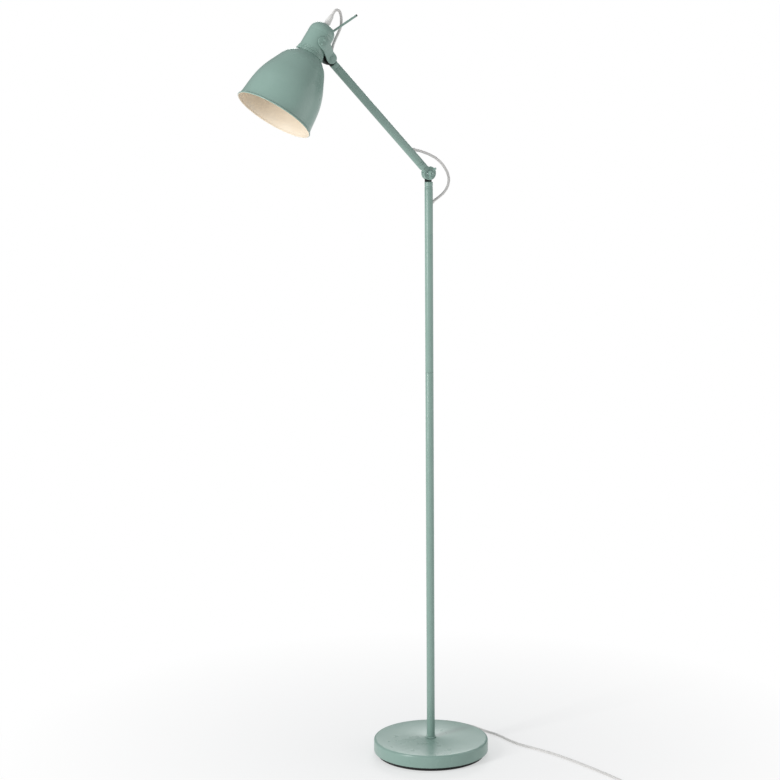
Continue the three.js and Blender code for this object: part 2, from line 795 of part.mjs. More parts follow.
// Inside the foot and pole: in by the bush, under the weight, up the stud and out of the pole's hole.
const poleLead = [
  offBase(bushTip - clearance, bush.height),
  offBase(base.radius + 8, bush.height),
  offBase(base.radius - 9, bush.height),
  offBase(base.radius - 19, bush.height - 0.6),
  offBase(70, 9.2),
  offBase(28, 8.4),
  offBase(13, 8.8),
  offBase(4, 13),
  [0, 0, 21],
  [0, 0, 60],
  [0, 0, 420],
  [0, 0, 780],
  [-0.5, 0, poleHole - 60],
  [-2.4, 0, poleHole - 26],
  [-1.4, 0, poleHole - 13],
  offPole(-7),
  offPole(-2),
  offPole(sleeveReach),
];

// Inside the arm, in the arm's own frame: in at the back near the elbow and out on the far side.
const backIn = [Math.sin(arm.elbowHoleSlope * degrees), -Math.cos(arm.elbowHoleSlope * degrees)];
const sideOut = [Math.sin(arm.headHoleSlope * degrees), Math.cos(arm.headHoleSlope * degrees)];

function offBack(distance) {
  return [tube.radius + backIn[0] * distance, 0, arm.elbowHole + backIn[1] * distance];
}

function offSide(distance) {
  return [0, tube.radius + sideOut[0] * distance, armHeadHole + sideOut[1] * distance];
}

function fromArm([x, y, z]) {
  const point = new THREE.Vector3(x, y, z).applyEuler(armGroup.rotation).add(armGroup.position);
  return point.toArray();
}

const armLead = [
  offBack(sleeveReach),
  offBack(-2),
  offBack(-7),
  [0.4, 0, arm.elbowHole + 12],
  [-1.8, 0, arm.elbowHole + 19],
  [-2, 0, arm.elbowHole + 30],
  [0, 0, 125],
  [0, -0.5, 215],
  [0, -2.6, armHeadHole - 22],
  [0, -1.2, armHeadHole - 11],
  offSide(-7),
  offSide(-2),
  offSide(sleeveReach),
];

// The loose loop behind the elbow, from the pole's hole to the arm's back.
const elbowLoop = [
  offPole(sleeveReach + clearance),
  offPole(sleeveReach + 4),
  [17.6, 0, 1116.8],
  [27, 0, 1122.6],
  [37, 0, 1131.2],
  [43.6, 0, 1141.5],
  [45.9, 0, 1153],
  [43.6, 0, 1164],
  [38.2, 0, 1174],
  [30, 0, 1184.2],
  [19, 0, 1193.4],
  [6, 0, 1200.6],
  [-8, 0, 1206.2],
  [-19, 0, 1209.8],
  fromArm(offBack(sleeveReach + 4)),
  fromArm(offBack(sleeveReach + clearance)),
];

// The loose loop from the top of the cap, over and down to the far side of the arm.
const headLoop = [
  [-208.1, 0, 1465.2],
  [-206.4, 0.1, 1467.8],
  [-203.8, 0.6, 1471],
  [-199.2, 1.6, 1474.4],
  [-192, 3.4, 1473.4],
  [-187.2, 5.6, 1466.4],
  [-184.8, 7.8, 1456],
  [-184.9, 10, 1445],
  [-188.4, 13, 1433.4],
  [-193.4, 15.8, 1421.4],
  [-197.6, 18, 1409.4],
  [-199.6, 19.6, 1397],
  [-199.2, 20, 1384.6],
  [-195.8, 18.6, 1371.6],
  [-191.6, 16, 1361.6],
  fromArm(offSide(sleeveReach + 5)),
  fromArm(offSide(sleeveReach + clearance)),
];

// From the foot's bush down to the floor, round the back of the foot and forward to the foot switch.
const rest = cord.radius + 0.2;
const switchAxis = 6.2;
const switchNear = footSwitch.y + footSwitch.length / 2 + switchRelief.length + clearance;
const switchFar = footSwitch.y - footSwitch.length / 2 - switchRelief.length - clearance;
const mainsRun = [
  offBase(bushTip, bush.height),
  offBase(bushTip + 4, bush.height - 0.2),
  [108.4, 108.2, 11.8],
  [116.6, 114.2, 7.4],
  [128.4, 117.6, 3.8],
  [140.6, 114, rest],
  [150.2, 104, rest],
  [156.4, 89, rest],
  [159.6, 72, rest],
  [163, 50, rest],
  [168.8, 28, rest],
  [171.8, 5, rest],
  [172.4, -20, rest],
  [174.8, -46, rest],
  [181, -71, rest],
  [190, -97, rest],
  [199, -127, rest],
  [206.8, -161, rest],
  [213.6, -206, rest],
  [219.4, -256, rest],
  [224.2, -310, rest],
  [226.6, -358, rest],
  [footSwitch.x, switchNear + 10, 4.6],
  [footSwitch.x, switchNear, switchAxis],
];

// From the foot switch round to the coil, and from the coil to the plug.
const coilRun = [
  [footSwitch.x, switchFar, switchAxis],
  [226.6, switchFar - 9, 4.4],
  [222.4, switchFar - 20, rest],
  [212, switchFar - 28.6, rest],
  [198, switchFar - 29.8, rest],
  [184.6, switchFar - 23.4, rest],
  [174.4, switchFar - 10.6, rest],
  [165, switchFar - 2, rest],
];
const plugAxis = plug.thickness / 2 + clearance;
const plugRun = [
  [112.1, -452, 9.8],
  [111.4, -445, 8.4],
  [110.6, -438, 7.2],
  [plug.x, plug.tailY, plugAxis],
];

add('cord_in_pole', cordSolid(poleLead, 2), whiteCord);
add('cord_elbow_loop', cordSolid(elbowLoop, 2), whiteCord);
add('cord_in_arm', cordSolid(armLead, 2), whiteCord, armGroup);
add('cord_head_loop', cordSolid(headLoop, 2), whiteCord);
addHead('cord_in_cap', cordSolid([
  [0, 0, capTop + reliefTop.length - clearance],
  [0, 0, capTop],
  [0, 0, holderTop - holder.endPlate + 1],
], 1), whiteCord);
add('cord_floor_run', cordSolid(mainsRun, 2), whiteCord);
add('cord_coil_run', cordSolid(coilRun, 2), whiteCord);
add('cord_plug_run', cordSolid(plugRun, 2), whiteCord);

function coilRing() {
  const inner = coil.meanRadius - coil.halfWidth;
  const outer = coil.meanRadius + coil.halfWidth;
  const edge = cord.radius;
  const top = coil.lift + coil.height;
  return turned([
    [inner, coil.lift + edge],
    [inner + edge, coil.lift],
    [outer - edge, coil.lift],
    [outer, coil.lift + edge],
    [outer, top - edge],
    [outer - edge, top],
    [inner + edge, top],
    [inner, top - edge],
    [inner, coil.lift + edge],
  ], sides.round).translate([coil.x, coil.y, 0]);
}

// A flat band round the coil's bundle on its +X side, loose by the bundle's curve across the band.
function coilTie() {
  const bow = (tie.width * tie.width) / (8 * (coil.meanRadius - coil.halfWidth)) + clearance;
  const low = coil.lift - clearance;
  const high = coil.lift + coil.height + clearance;
  const near = coil.meanRadius - coil.halfWidth - bow;
  const far = coil.meanRadius + coil.halfWidth + clearance;
  const outside = block(far - near + 2 * tie.thickness, tie.width, high - low + 2 * tie.thickness,
    (near + far) / 2, 0, (low + high) / 2);
  const inside = block(far - near, tie.width + 2, high - low, (near + far) / 2, 0, (low + high) / 2);
  return outside.subtract(inside).translate([coil.x, coil.y, 0]);
}

add('cord_coil', coilRing(), whiteCord);
add('cord_tie', coilTie(), blackPlastic);

// ---------------------------------------------------------------- foot switch
const switchSplit = footSwitch.split;

function switchOutline(inset) {
  const halfWidth = footSwitch.width / 2 - inset;
  const straight = footSwitch.length / 2 - footSwitch.width / 2;
  const outline = new THREE.Shape();
  outline.absarc(0, straight, halfWidth, 0, Math.PI, false);
  outline.absarc(0, -straight, halfWidth, Math.PI, Math.PI * 2, false);
  outline.closePath();
  return outline;
}

function switchSlab(inset, low, high) {
  return solidOf(new THREE.ExtrudeGeometry(switchOutline(inset), {
    depth: high - low,
    bevelEnabled: false,
    curveSegments: 8,
  }).translate(0, 0, low));
}

function switchPlace(solid) {
  return solid.translate([footSwitch.x, footSwitch.y, 0]);
}

function switchCordHole() {
  const reach = footSwitch.length;
  const radius = cordBore + switchRelief.stemWall + clearance;
  return rodY(radius, -reach, reach, sides.small).translate([0, 0, switchAxis]);
}

function switchLower() {
  return switchSlab(0, 0, switchSplit)
    .subtract(switchSlab(footSwitch.wall, footSwitch.wall, switchSplit + 1))
    .subtract(switchCordHole());
}

function switchUpper() {
  const rounded = switchSlab(0, switchSplit + clearance, footSwitch.height - 5)
    .add(switchSlab(1.6, footSwitch.height - 6, footSwitch.height - 1.6))
    .add(switchSlab(4, footSwitch.height - 2, footSwitch.height));
  const inside = switchSlab(footSwitch.wall + 2.4, switchSplit - 1, footSwitch.height - footSwitch.wall);
  return rounded.subtract(inside)
    .subtract(disc(pedal.radius + 2 * clearance, 0, footSwitch.height + 1, sides.round))
    .subtract(switchCordHole());
}

function switchPedal() {
  const low = footSwitch.height - pedal.sunk;
  const high = low + pedal.height;
  return turned([
    [0, low],
    [pedal.radius, low],
    ...shoulder(pedal.radius, high - 2.4, 4, high, 4),
    [0, high],
  ], sides.round);
}

function cordRelief(length) {
  const stem = ring(cordBore, cordBore + switchRelief.stemWall, -footSwitch.wall - 3, 1, sides.small);
  return taperedRelief(switchRelief.rootWall, switchRelief.tipWall, length).add(stem);
}

const switchBlockTop = footSwitch.height - pedal.sunk - pedal.travel - clearance;
add('foot_switch_lower', switchPlace(switchLower()), whitePlastic);
add('foot_switch_upper', switchPlace(switchUpper()), whitePlastic);
const switchBlockBottom = footSwitch.wall + clearance;
const switchBlock = block(
  contactBlock.width,
  contactBlock.length,
  switchBlockTop - switchBlockBottom,
  0,
  0,
  (switchBlockTop + switchBlockBottom) / 2,
);
add('foot_switch_mechanism', switchPlace(switchBlock), blackPlastic);
add('foot_switch_button', switchPlace(switchPedal()), whitePlastic);
for (const [label, side] of [['lamp', 1], ['plug', -1]]) {
  const relief = alongY(cordRelief(switchRelief.length)).rotate([0, 0, side > 0 ? 0 : 180])
    .translate([0, side * (footSwitch.length / 2 + clearance), switchAxis]);
  add(`foot_switch_relief_${label}`, switchPlace(relief), whitePlastic);
}

// ---------------------------------------------------------------- plug
function plugBody() {
  const half = plug.width / 2;
  const outline = new THREE.Shape();
  outline.moveTo(-half + 2, plug.length);
  outline.lineTo(-half, plug.length - 2);
  outline.lineTo(-half, plug.length - 14);
  outline.quadraticCurveTo(-half + 1, 5, -6, 0);
  outline.lineTo(6, 0);
  outline.quadraticCurveTo(half - 1, 5, half, plug.length - 14);
  outline.lineTo(half, plug.length - 2);
  outline.lineTo(half - 2, plug.length);
  outline.closePath();
  const body = solidOf(new THREE.ExtrudeGeometry(outline, {
    depth: plug.thickness - 2 * plug.edge,
    bevelEnabled: true,
    bevelThickness: plug.edge,
    bevelSize: plug.edge,
    bevelOffset: -plug.edge,
    bevelSegments: 1,
    curveSegments: 4,
  }).translate(0, 0, plug.edge - plug.thickness / 2));
  const taper = taperedRelief(switchRelief.rootWall, switchRelief.tipWall, switchRelief.length + 1);
  const tail = alongY(taper).rotate([0, 0, 180]).translate([0, 1, 0]);
  const cordHole = rodY(cordBore, -switchRelief.length - 2, 4, sides.small);
  const pinFoot = plug.length - plug.pinRoot;
  const pinHole = rodY(plug.pinRadius + clearance, pinFoot, plug.length + 2, sides.tiny);
  return body.add(tail).subtract(cordHole)
    .subtract(pinHole.translate([-plug.pinPitch / 2, 0, 0]))
    .subtract(pinHole.translate([plug.pinPitch / 2, 0, 0]));
}

function plugPlace(solid) {
  return solid.translate([plug.x, plug.tailY + switchRelief.length + clearance, plugAxis]);
}

function plugPin(side) {
  const foot = plug.length - plug.pinRoot + clearance;
  const end = plug.length + plug.pinLength;
  const pin = turned([
    [0, foot],
    [plug.pinRadius, foot],
    ...shoulder(plug.pinRadius, end - plug.pinRadius, 0, end, 2),
  ], sides.tiny);
  return alongY(pin).translate([side * plug.pinPitch / 2, 0, 0]);
}

add('plug_body', plugPlace(plugBody()), whitePlastic);
add('plug_pin_left', plugPlace(plugPin(-1)), zincSteel);
add('plug_pin_right', plugPlace(plugPin(1)), zincSteel);

export default lamp;
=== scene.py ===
import math

import bmesh
import bpy
from mathutils import Matrix, Vector


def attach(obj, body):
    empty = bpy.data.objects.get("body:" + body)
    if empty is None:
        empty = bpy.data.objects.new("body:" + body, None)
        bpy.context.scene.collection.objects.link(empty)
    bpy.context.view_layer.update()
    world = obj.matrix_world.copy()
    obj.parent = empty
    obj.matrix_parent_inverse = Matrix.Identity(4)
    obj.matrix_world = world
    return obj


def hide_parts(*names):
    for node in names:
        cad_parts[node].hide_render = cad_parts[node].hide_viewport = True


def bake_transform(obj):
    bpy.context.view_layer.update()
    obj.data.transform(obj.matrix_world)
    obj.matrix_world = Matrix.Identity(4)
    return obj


# An adjustable arm floor lamp. Sizes in the dictionaries are millimetres; the scene is in metres.
mm = 0.001

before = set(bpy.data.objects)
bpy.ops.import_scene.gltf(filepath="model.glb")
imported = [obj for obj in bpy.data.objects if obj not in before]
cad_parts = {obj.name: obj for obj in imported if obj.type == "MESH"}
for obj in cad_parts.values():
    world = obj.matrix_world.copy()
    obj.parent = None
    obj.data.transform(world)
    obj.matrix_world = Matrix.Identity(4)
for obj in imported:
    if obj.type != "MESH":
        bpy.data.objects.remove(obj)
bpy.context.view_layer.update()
scene = bpy.context.scene
scene.view_settings.view_transform = "Standard"
print("frame loaded:", len(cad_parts), "nodes")

# ---- camera
camera = {
    "place": (-2.0194, -3.3152, 1.355),
    "looksAlong": (0.4969, 0.8537, -0.1557),
    "roll": -0.41,
    "lens": 92.3,
}
cameraData = bpy.data.cameras.new("studioCamera")
cameraData.lens = camera["lens"]
cameraData.sensor_width = 36
cameraObject = bpy.data.objects.new("studioCamera", cameraData)
scene.collection.objects.link(cameraObject)
aim = Vector(camera["looksAlong"]).to_track_quat("-Z", "Y").to_matrix().to_4x4()
cameraObject.matrix_world = (
    Matrix.Translation(camera["place"]) @ aim @ Matrix.Rotation(math.radians(camera["roll"]), 4, "Z")
)
scene.camera = cameraObject
print("camera placed")


# ---- modelling helpers
def pick(piece):
    bpy.ops.object.select_all(action="DESELECT")
    piece.select_set(True)
    bpy.context.view_layer.objects.active = piece


# Leaves edit mode with every face turned outwards.
def faceOutwards():
    bpy.ops.mesh.select_all(action="SELECT")
    bpy.ops.mesh.normals_make_consistent(inside=False)
    bpy.ops.object.mode_set(mode="OBJECT")


def startPiece(name):
    piece = bpy.context.object
    piece.name = name
    piece.data.name = name
    return piece


# Rounds the corners of a profile. Each point is (radius, height) or (radius, height, size of the rounding).
def softened(profile):
    points = [profile[0][:2]]
    for before, corner, after in zip(profile, profile[1:], profile[2:]):
        size = corner[2] if len(corner) > 2 else 0
        middle = Vector(corner[:2])
        back, on = Vector(before[:2]) - middle, Vector(after[:2]) - middle
        reach = min(size, back.length * 0.45, on.length * 0.45)
        if reach == 0:
            points.append(corner[:2])
            continue
        first, last = middle + back.normalized() * reach, middle + on.normalized() * reach
        steps = max(3, min(12, round(size * 1.6)))
        for step in range(steps + 1):
            t = step / steps
            points.append(tuple(first * (1 - t) ** 2 + middle * 2 * t * (1 - t) + last * t * t))
    points.append(profile[-1][:2])
    return points


# A smooth line through the points, with the same number of steps between each two.
def smoothLine(points, steps):
    vectors = [Vector(point) for point in points]
    padded = [vectors[0] * 2 - vectors[1], *vectors, vectors[-1] * 2 - vectors[-2]]
    line = []
    for a, b, c, d in zip(padded, padded[1:], padded[2:], padded[3:]):
        for step in range(steps):
            t = step / steps
            line.append(b + (c - a) * (t / 2) + (a * 2 - b * 5 + c * 4 - d) * (t * t / 2)
                        + (b * 3 - a - c * 3 + d) * (t ** 3 / 2))
    return [tuple(point) for point in [*line, vectors[-1]]]


# Turns a profile about Z: a ring is extruded and scaled from point to point, as on a lathe.
def turnPiece(name, profile, segments=64):
    solidStart = profile[0][0] == 0
    rings = profile[1:] if solidStart else profile
    radius, height = rings[0]
    bpy.ops.mesh.primitive_circle_add(vertices=segments, radius=radius * mm)
    piece = startPiece(name)
    bpy.ops.object.mode_set(mode="EDIT")
    bpy.ops.mesh.select_mode(type="VERT")
    bpy.ops.mesh.select_all(action="SELECT")
    bpy.ops.transform.translate(value=(0, 0, height * mm))
    for nextRadius, nextHeight in rings[1:]:
        rise = (0, 0, (nextHeight - height) * mm)
        bpy.ops.mesh.extrude_region_move(TRANSFORM_OT_translate={"value": rise})
        ratio = nextRadius / radius
        bpy.ops.transform.resize(value=(ratio, ratio, 1), center_override=(0, 0, nextHeight * mm))
        radius, height = nextRadius, nextHeight
    bpy.ops.mesh.select_all(action="SELECT")
    bpy.ops.mesh.remove_doubles(threshold=0.002 * mm)
    if solidStart:
        bpy.ops.mesh.select_all(action="DESELECT")
        bpy.ops.mesh.select_non_manifold()
        bpy.ops.mesh.edge_face_add()
    faceOutwards()
    return piece


def addModifier(piece, kind, **settings):
    pick(piece)
    bpy.ops.object.modifier_add(type=kind)
    modifier = piece.modifiers[-1]
    for key, value in settings.items():
        setattr(modifier, key, value)
    bpy.ops.object.modifier_apply(modifier=modifier.name)


def bevelEdges(piece, width, segments=3, angle=40):
    addModifier(piece, "BEVEL", width=width * mm, segments=segments, limit_method="ANGLE",
                angle_limit=math.radians(angle), harden_normals=False)


def combine(piece, other, operation):
    addModifier(piece, "BOOLEAN", operation=operation, solver="EXACT", object=other)
    bpy.data.objects.remove(other)
    bpy.ops.object.mode_set(mode="EDIT")
    bpy.ops.mesh.select_mode(type="VERT")
    bpy.ops.mesh.select_all(action="SELECT")
    bpy.ops.mesh.remove_doubles(threshold=0.002 * mm)
    bpy.ops.mesh.dissolve_degenerate(threshold=0.001 * mm)
    bpy.ops.object.mode_set(mode="OBJECT")


def rodBetween(radius, start, end, segments=32):
    start, end = Vector(start) * mm, Vector(end) * mm
    way = end - start
    bpy.ops.mesh.primitive_cylinder_add(
        vertices=segments, radius=radius * mm, depth=way.length,
        location=(start + end) / 2, rotation=way.to_track_quat("Z", "Y").to_euler())
    rod = bpy.context.object
    bpy.ops.object.transform_apply()
    return rod


def drill(piece, radius, start, end, segments=32):
    combine(piece, rodBetween(radius, start, end, segments), "DIFFERENCE")


def boxBetween(low, high):
    low, high = Vector(low) * mm, Vector(high) * mm
    bpy.ops.mesh.primitive_cube_add(size=1, location=(low + high) / 2, scale=high - low)
    bpy.ops.object.transform_apply()
    return bpy.context.object


def place(piece, matrix):
    pick(piece)
    piece.matrix_world = matrix
    bpy.ops.object.transform_apply()
    return piece


def copyOf(piece, name):
    pick(piece)
    bpy.ops.object.duplicate()
    return startPiece(name)


def selectWhere(piece, mode, rule):
    bpy.ops.object.mode_set(mode="EDIT")
    bpy.ops.mesh.select_mode(type=mode)
    bpy.ops.mesh.select_all(action="DESELECT")
    mesh = bmesh.from_edit_mesh(piece.data)
    for part in mesh.faces if mode == "FACE" else mesh.verts:
        part.select = rule(part)
    mesh.select_flush(True)
    bmesh.update_edit_mesh(piece.data)


# Gives the second material to the faces that the rule picks.
def paintWhere(piece, material, rule):
    piece.data.materials.append(material)
    pick(piece)
    selectWhere(piece, "FACE", rule)
    piece.active_material_index = len(piece.data.materials) - 1
    bpy.ops.object.material_slot_assign()
    bpy.ops.object.mode_set(mode="OBJECT")


def settle(piece, body, slot, nodes, smoothAngle=38):
    pick(piece)
    bpy.ops.object.shade_smooth_by_angle(angle=math.radians(smoothAngle))
    if not piece.data.materials:
        piece.data.materials.append(finishOf[slot])
    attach(piece, body)
    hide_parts(*nodes)
    return piece


toY = Matrix.Rotation(math.radians(-90), 4, "X")
toMinusY = Matrix.Rotation(math.radians(90), 4, "X")

# ---- where the arm and the head stand
joints = {"elbowHeight": 1166.8, "armLength": 308, "armLean": 44.7, "headTilt": 34.5,
          "headSide": 38, "headDrop": 151}
elbowFrame = Matrix.Translation((0, 0, joints["elbowHeight"] * mm))
armFrame = elbowFrame @ Matrix.Rotation(math.radians(-joints["armLean"]), 4, "Y")
pivotFrame = armFrame @ Matrix.Translation((0, 0, joints["armLength"] * mm))
headFrame = (
    Matrix.Translation(pivotFrame.translation)
    @ Matrix.Rotation(math.radians(joints["headTilt"]), 4, "Y")
    @ Matrix.Translation((-joints["headSide"] * mm, 0, -joints["headDrop"] * mm))
)


# ---- materials
def colour(code, alpha=1):
    parts = [int(code[i:i + 2], 16) / 255 for i in (1, 3, 5)]
    return (*[p / 12.92 if p <= 0.04045 else ((p + 0.055) / 1.055) ** 2.4 for p in parts], alpha)


def addNode(material, kind, values=None, links=None, **settings):
    node = material.node_tree.nodes.new(kind)
    for key, value in settings.items():
        setattr(node, key, value)
    for key, value in (values or {}).items():
        node.inputs[key].default_value = value
    for key, (source, output) in (links or {}).items():
        material.node_tree.links.new(source.outputs[output], node.inputs[key])
    return node


# A finish whose colour, gloss and relief vary with fine grain and broad tone, both set by real sizes.
def makeFinish(name, look):
    material = bpy.data.materials.new(name)
    material.use_nodes = True
    material.node_tree.nodes.clear()
    where = addNode(material, "ShaderNodeTexCoord")
    grain = addNode(material, "ShaderNodeTexNoise",
                    {"Scale": 1 / (look["grain"] * mm), "Detail": look.get("grainDetail", 3), "Roughness": 0.55},
                    {"Vector": (where, "Object")})
    tone = addNode(material, "ShaderNodeTexNoise",
                   {"Scale": 1 / (look["toneSize"] * mm), "Detail": 4, "Roughness": 0.6},
                   {"Vector": (where, "Object")})
    blendTone = addNode(material, "ShaderNodeMapRange",
                        {"From Min": 0.32, "From Max": 0.68, "To Min": 0, "To Max": 1}, {"Value": (tone, "Fac")})
    mixed = addNode(material, "ShaderNodeMix", {6: colour(look["dark"]), 7: colour(look["light"])},
                    {0: (blendTone, "Result")}, data_type="RGBA")  # 0 is the factor, 6 and 7 the two colours
    gloss = addNode(material, "ShaderNodeMapRange",
                    {"From Min": 0.3, "From Max": 0.7, "To Min": look["gloss"][0], "To Max": look["gloss"][1]},
                    {"Value": (tone, "Fac")})
    relief = addNode(material, "ShaderNodeBump",
                     {"Strength": look["bump"], "Distance": look.get("depth", 0.1) * mm}, {"Height": (grain, "Fac")})
    shader = addNode(material, "ShaderNodeBsdfPrincipled",
                     {"Metallic": look.get("metal", 0)},
                     {"Base Color": (mixed, 2), "Roughness": (gloss, "Result"), "Normal": (relief, "Normal")})
    if "ior" in look:
        shader.inputs["IOR"].default_value = look["ior"]
    if "coat" in look:
        shader.inputs["Coat Weight"].default_value = look["coat"]
        shader.inputs["Coat Roughness"].default_value = look["coatGloss"]
    addNode(material, "ShaderNodeOutputMaterial", links={"Surface": (shader, "BSDF")})
    return material


# Baked powder coat on steel: an even grey green with a soft sheen and a fine orange peel.
greenPowderCoat = makeFinish("greenPowderCoat", {
    "dark": "#86a298", "light": "#8ca79e", "gloss": (0.26, 0.31), "grain": 0.9, "toneSize": 60,
    "bump": 0.07, "depth": 0.05, "ior": 1.5})
# Stoved enamel inside the shade: warm off-white and nearly matt, to spread the light.
creamStoveEnamel = makeFinish("creamStoveEnamel", {
    "dark": "#dfd2be", "light": "#e6dbc9", "gloss": (0.5, 0.6), "grain": 1.1, "toneSize": 45,
    "bump": 0.1, "depth": 0.05, "ior": 1.5})
# Moulded rubber: matt black with a fine pebble.
blackMouldedRubber = makeFinish("blackMouldedRubber", {
    "dark": "#0e0e0e", "light": "#161616", "gloss": (0.7, 0.85), "grain": 0.7, "toneSize": 20,
    "bump": 0.4, "depth": 0.12, "ior": 1.52})
# Dull black with a slight metal shine: painted shade in the elbow's recessed neck, and on the arm's eye a dark finish
# that also stands in for the shade between the yoke's cheeks.
blackSteelAndPaintedShade = makeFinish("blackSteelAndPaintedShade", {
    "dark": "#141715", "light": "#20251f", "gloss": (0.42, 0.55), "grain": 0.5, "toneSize": 9,
    "bump": 0.12, "depth": 0.04, "metal": 0.35})
# Bright zinc plate on turned and pressed steel: bluish silver, slightly clouded.
brightZincPlate = makeFinish("brightZincPlate", {
    "dark": "#a9adb1", "light": "#c3c7ca", "gloss": (0.24, 0.38), "grain": 0.4, "toneSize": 6,
    "bump": 0.1, "depth": 0.03, "metal": 1})
# Sand-cast grey iron: dark, rough and pitted.
sandCastIron = makeFinish("sandCastIron", {
    "dark": "#2c2d2f", "light": "#3d3e40", "gloss": (0.65, 0.8), "grain": 1.4, "toneSize": 14,
    "bump": 0.7, "depth": 0.4, "metal": 0.7})
# Drawn brass, a little dulled by handling.
drawnBrass = makeFinish("drawnBrass", {
    "dark": "#b08b45", "light": "#c9a55b", "gloss": (0.22, 0.36), "grain": 0.5, "toneSize": 8,
    "bump": 0.08, "depth": 0.03, "metal": 1})
# Extruded soft vinyl over the cord's wires: slightly grey white, smooth with a dull gloss.
extrudedVinyl = makeFinish("extrudedVinyl", {
    "dark": "#d3d1cf", "light": "#dcdad8", "gloss": (0.42, 0.52), "grain": 1.2, "toneSize": 30,
    "bump": 0.1, "depth": 0.05, "ior": 1.53})
# Injection moulded ABS: clean white with a light spark-eroded texture.
mouldedWhiteAbs = makeFinish("mouldedWhiteAbs", {
    "dark": "#deddda", "light": "#e8e7e4", "gloss": (0.38, 0.48), "grain": 0.6, "toneSize": 22,
    "bump": 0.16, "depth": 0.05, "ior": 1.54})
# Moulded black polyamide: satin black.
mouldedBlackNylon = makeFinish("mouldedBlackNylon", {
    "dark": "#17171a", "light": "#1f1f22", "gloss": (0.45, 0.55), "grain": 0.6, "toneSize": 12,
    "bump": 0.15, "depth": 0.05, "ior": 1.53})
# Natural polyamide sheet, punched: milky and slightly yellow.
naturalNylon = makeFinish("naturalNylon", {
    "dark": "#cdc7b6", "light": "#d9d4c5", "gloss": (0.45, 0.55), "grain": 0.5, "toneSize": 10,
    "bump": 0.1, "depth": 0.04, "ior": 1.53})
finishOf = {"green_paint": greenPowderCoat, "white_plastic": mouldedWhiteAbs, "zinc_steel": brightZincPlate,
            "black_rubber": blackMouldedRubber, "black_plastic": mouldedBlackNylon, "brass": drawnBrass}
print("materials made")

# ---- cords
cord = {
    "radius": 2.6, "bore": 2.9,
    "elbowLoop": [
        (9.99, 0, 1112.15), (13.2, 0, 1114), (17.6, 0, 1116.8), (27, 0, 1122.6), (37, 0, 1131.2),
        (43.6, 0, 1141.5), (45.9, 0, 1153), (43.6, 0, 1164), (38.2, 0, 1174), (30, 0, 1184.2),
        (19, 0, 1193.4), (6, 0, 1200.6), (-8, 0, 1206.2), (-19, 0, 1209.8), (-28.1, 0, 1211.64),
        (-31.75, 0, 1212.16),
    ],
    "headLoop": [
        (-208.1, 0, 1465.2), (-206.4, 0.1, 1467.8), (-203.8, 0.6, 1471), (-199.2, 1.6, 1474.4),
        (-192, 3.4, 1473.4), (-187.2, 5.6, 1466.4), (-184.8, 7.8, 1456), (-184.9, 10, 1445),
        (-188.4, 13, 1433.4), (-193.4, 15.8, 1421.4), (-197.6, 18, 1409.4), (-199.6, 19.6, 1397),
        (-199.2, 20, 1384.6), (-195.8, 18.6, 1371.6), (-191.6, 16, 1361.6), (-187.3, 13.52, 1356.1),
        (-185.3, 9.8, 1354.1),
    ],
    "floorRun": [
        (99.9, 99.9, 14), (102.7, 102.7, 13.8), (108.4, 108.2, 11.8), (116.6, 114.2, 7.4),
        (128.4, 117.6, 3.8), (140.6, 114, 2.8), (150.2, 104, 2.8), (156.4, 89, 2.8), (159.6, 72, 2.8),
        (163, 50, 2.8), (168.8, 28, 2.8), (171.8, 5, 2.8), (172.4, -20, 2.8), (174.8, -46, 2.8),
        (181, -71, 2.8), (190, -97, 2.8), (199, -127, 2.8), (206.8, -161, 2.8), (213.6, -206, 2.8),
        (219.4, -256, 2.8), (224.2, -310, 2.8), (226.6, -358, 2.8), (227, -382.7, 4.6), (227, -392.7, 6.2),
        (227, -420, 6.2), (227, -447, 6.2), (227, -474, 6.2), (227, -501.3, 6.2), (226.6, -510.3, 4.4),
        (222.4, -521.3, 2.8), (212, -529.9, 2.8), (198, -531.1, 2.8), (184.6, -524.7, 2.8),
        (174.4, -511.9, 2.8), (165, -503.3, 3),
    ],
    "toPlug": [(112.1, -452, 9.8), (111.4, -445, 8.4), (110.6, -438, 7.2), (110, -430, 6.8), (110, -409, 6.8)],
}
cordBore = cord["bore"]
coil = {
    "centre": (150, -466),
    "enters": -100,
    "leaves": -180,
    "turns": [(34.5, 4.0), (29, 4.0), (23.6, 4.0), (23.6, 9.2), (29, 9.2), (34.5, 9.2), (31.7, 13.7)],
    "change": 70,
    "pointsPerTurn": 20,
}


# The wound length: each turn lies beside or on the one before, and crosses over to it within the change angle.
def coilPoints():
    sweep = 360 * len(coil["turns"]) + coil["enters"] - coil["leaves"]
    count = round(sweep / 360 * coil["pointsPerTurn"])
    points = []
    for step in range(count + 1):
        gone = sweep * step / count
        index = min(int(gone // 360), len(coil["turns"]) - 1)
        radius, height = coil["turns"][index]
        into = gone - 360 * index
        if index and into < coil["change"]:
            share = into / coil["change"]
            share = share * share * (3 - 2 * share)
            oldRadius, oldHeight = coil["turns"][index - 1]
            radius = oldRadius + (radius - oldRadius) * share
            height = oldHeight + (height - oldHeight) * share
        turn = math.radians(coil["enters"] - gone)
        x, y = coil["centre"]
        points.append((x + radius * math.cos(turn), y + radius * math.sin(turn), height))
    return points


def curveThrough(name, points, thickness):
    data = bpy.data.curves.new(name, "CURVE")
    data.dimensions = "3D"
    data.resolution_u = 6
    data.bevel_depth = thickness * mm
    data.bevel_resolution = 5
    data.use_fill_caps = thickness > 0
    spline = data.splines.new("BEZIER")
    spline.bezier_points.add(len(points) - 1)
    for point, target in zip(spline.bezier_points, points):
        point.co = Vector(target) * mm
        point.handle_left_type = point.handle_right_type = "AUTO"
    curve = bpy.data.objects.new(name, data)
    scene.collection.objects.link(curve)
    return curve


def meshOf(curve):
    pick(curve)
    bpy.ops.object.convert(target="MESH")
    return bpy.context.object


